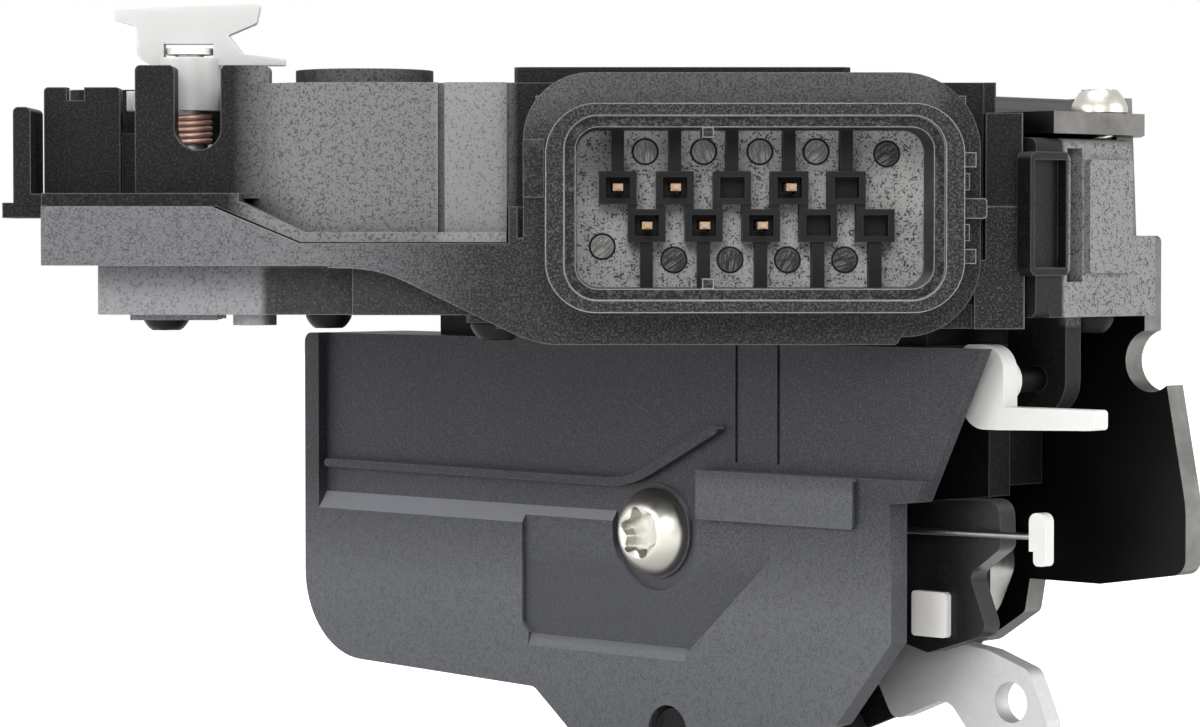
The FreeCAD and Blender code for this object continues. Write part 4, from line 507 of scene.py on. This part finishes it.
def wire(name, points, radius, material, body, sides=12):
    """A round wire swept through points in mm."""
    shape = bmesh.new()
    rings = []
    side = None
    for i, point in enumerate(points):
        ahead = (points[min(i + 1, len(points) - 1)] - points[max(i - 1, 0)]).normalized()
        if side is None:
            side = ahead.orthogonal().normalized()
        side = (side - ahead * side.dot(ahead)).normalized()
        other = ahead.cross(side)
        ring = []
        for k in range(sides):
            angle = 2 * math.pi * k / sides
            out = side * math.cos(angle) + other * math.sin(angle)
            ring.append(shape.verts.new((point + out * radius) * MM))
        rings.append(ring)
    bridged(shape, rings)
    capped(shape, rings)
    item = finished(shape, name, (0, 0, 0), (0, 0, 1), material)
    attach(item, body)
    return item


def winding(centre, axis, start_dir, radius, pitch, turns, steps=28):
    """Points of a coil that starts at centre + start_dir * radius and climbs along axis."""
    side = start_dir
    other = axis.cross(side)
    points = []
    for k in range(int(turns * steps) + 1):
        angle = 2 * math.pi * k / steps
        out = side * math.cos(angle) + other * math.sin(angle)
        points.append(centre + out * radius + axis * (pitch * k / steps))
    return points


copper_wire = metal("copper_wire", "e2bfb2", "b08778", 0.55)
music_wire = metal("music_wire", "8d8b88", "4c4a48", 0.32)
path = winding(Vector((-51.8, 21.5, 5.9)), UP, RIGHT, 1.9, 0.56, 5.25)
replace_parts(wire("inside_lever_coil", path, 0.24, copper_wire, "housing"), "inside_lever_spring")
path = [leg(-42.7, 25.55, -31.0), leg(-42.7, 25.55, -18.0)]
path = path + winding(leg(-38.0, 25.55, -17.0), ACROSS, -ALONG, 4.7, 0.92, 4.0)[1:]
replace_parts(wire("claw_coil", path, 0.42, music_wire, "housing"), "claw_spring")
path = [leg(11.3, 24.8, -29.6), leg(-8.3, 24.8, -29.9)]
path = path + winding(leg(-8.5, 24.8, -33.5), -ACROSS, UP, 3.6, 0.68, 3.25)[2:]
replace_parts(wire("pawl_coil", path, 0.3, music_wire, "housing"), "pawl_spring")


# Screws: cold-headed steel with a six-lobed socket. Their threads cut into the plastic posts.
# The cover's and the plate's are zinc plated and bright. The four driven from below are black
# phosphated, so they look dull.
RUN_OUT = 0.25  # share of the length over which a thread rises and runs out
FLANK = 0.34    # half the ridge's width, as a share of the pitch


def helical(shape, low, high, core, crest, pitch, sides=32, inward=False):
    """A threaded surface about Z. Its ridge runs once round in one pitch."""
    rows = max(2, int((high - low) / (pitch / 8)))
    rings = []
    for i in range(rows + 1):
        z = low + (high - low) * i / rows
        fade = min(1.0, 2.0 * min(i, rows - i) / (rows * RUN_OUT))

        def thread_radius(k, angle):
            phase = (z / pitch - k / sides) % 1.0
            ridge = max(0.0, 1.0 - abs(phase - 0.5) / FLANK)
            return core + (crest - core) * min(1.0, ridge * 1.4) * fade

        rings.append(around(shape, sides, thread_radius, z))
    bridged(shape, rings, inward)
    return rings


LOBE_DEPTH = 0.15  # of the socket's radius


def lobed_screw(name, seat, outward, head_r, tall, shank_r, shank, lobe, body, finish):
    """A pan head with a six-lobed socket over a threaded shank. seat is where the head bears.

    Each row is a height, a radius and the share of the lobes there.
    """
    shape = bmesh.new()
    rows = [(0.0, shank_r * 0.98, 0), (0.0, head_r - 0.1, 0), (0.1, head_r, 0), (tall * 0.26, head_r, 0),
            (tall * 0.42, head_r * 0.95, 0), (tall * 0.66, head_r * 0.85, 0),
            (tall * 0.88, head_r * 0.72, 0), (tall, head_r * 0.6, 0), (tall, lobe + 0.28, 0.3),
            (tall - 0.14, lobe, 1), (tall - 1.5, lobe * 0.96, 1), (tall - 1.6, lobe * 0.2, 0)]
    rings = [around(shape, 72, lambda k, angle: radius * (1.0 + star * LOBE_DEPTH * math.cos(6 * angle)), z)
             for z, radius, star in rows]
    bridged(shape, rings)
    shape.faces.new(rings[-1])
    thread = helical(shape, -shank, -0.2, shank_r * 0.78, shank_r * 0.99, 1.25)
    capped(shape, thread)
    item = finished(shape, name, seat, outward, finish)
    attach(item, body)
    return item


screw_zinc = plated("screw_zinc", "cfceca", "a6a294", 0.3)
screw_black = plated("black_phosphate", "262626", "1a1a1a", 0.5)
# Head radius, head height, shank radius, shank length, socket radius, body, finish.
LARGE = (4.25, 2.4, 1.75, 8.0, 2.15, "housing", screw_zinc)
SMALL = (2.4, 1.6, 1.25, 5.4, 1.2, "housing", screw_black)
PLATE = (2.6, 2.2, 1.25, 8.4, 1.35, "housing", screw_zinc)
COVER_SEAT = leg(-31.4, 19.8, -31.1)
HOUSING_SEATS = (Vector((-23.1, 17.0, -10.4)), Vector((-58.0, 57.0, -10.4)), Vector((-42.0, 66.0, -10.4)),
                 leg(8.8, 35.9, -9.8))
PLATE_SEAT = leg(10.6, 35.2, 8.8)
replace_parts(lobed_screw("cover_lobed_screw", COVER_SEAT, -ACROSS, *LARGE), "cover_screws")
for seat in HOUSING_SEATS:
    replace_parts(lobed_screw("housing_lobed_screw", seat, -UP, *SMALL), "housing_screws")
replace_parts(lobed_screw("plate_lobed_screw", PLATE_SEAT, UP, *PLATE), "plate_screw")

# Worm: brass, with one thread rolled on its core, pressed on the motor's shaft.
shape = bmesh.new()
rings = helical(shape, -47.45, -34.95, 1.75, 2.68, 1.4, 40)
capped(shape, rings)
worm = finished(shape, "rolled_worm", leg(0.0, 1.1, 0.0), ALONG, brass)
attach(worm, "motor_rotor")
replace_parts(worm, "motor_worm")

# Collars of the latch plate: extruded from the sheet, with a thread cut in each for a door screw.
# Only the thread is added here, as a surface just inside the hole.
COLLAR_MOUTH = 38.6
COLLARS = ((-59.0, 2.4), (-59.0, -37.6), (1.6, 1.4))
for s, z in COLLARS:
    shape = bmesh.new()
    helical(shape, 0.1, 4.8, 2.49, 2.2, 1.0, 36, True)
    thread = finished(shape, "collar_thread", leg(s, COLLAR_MOUTH, z), ACROSS, hard_steel)
    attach(thread, "housing")
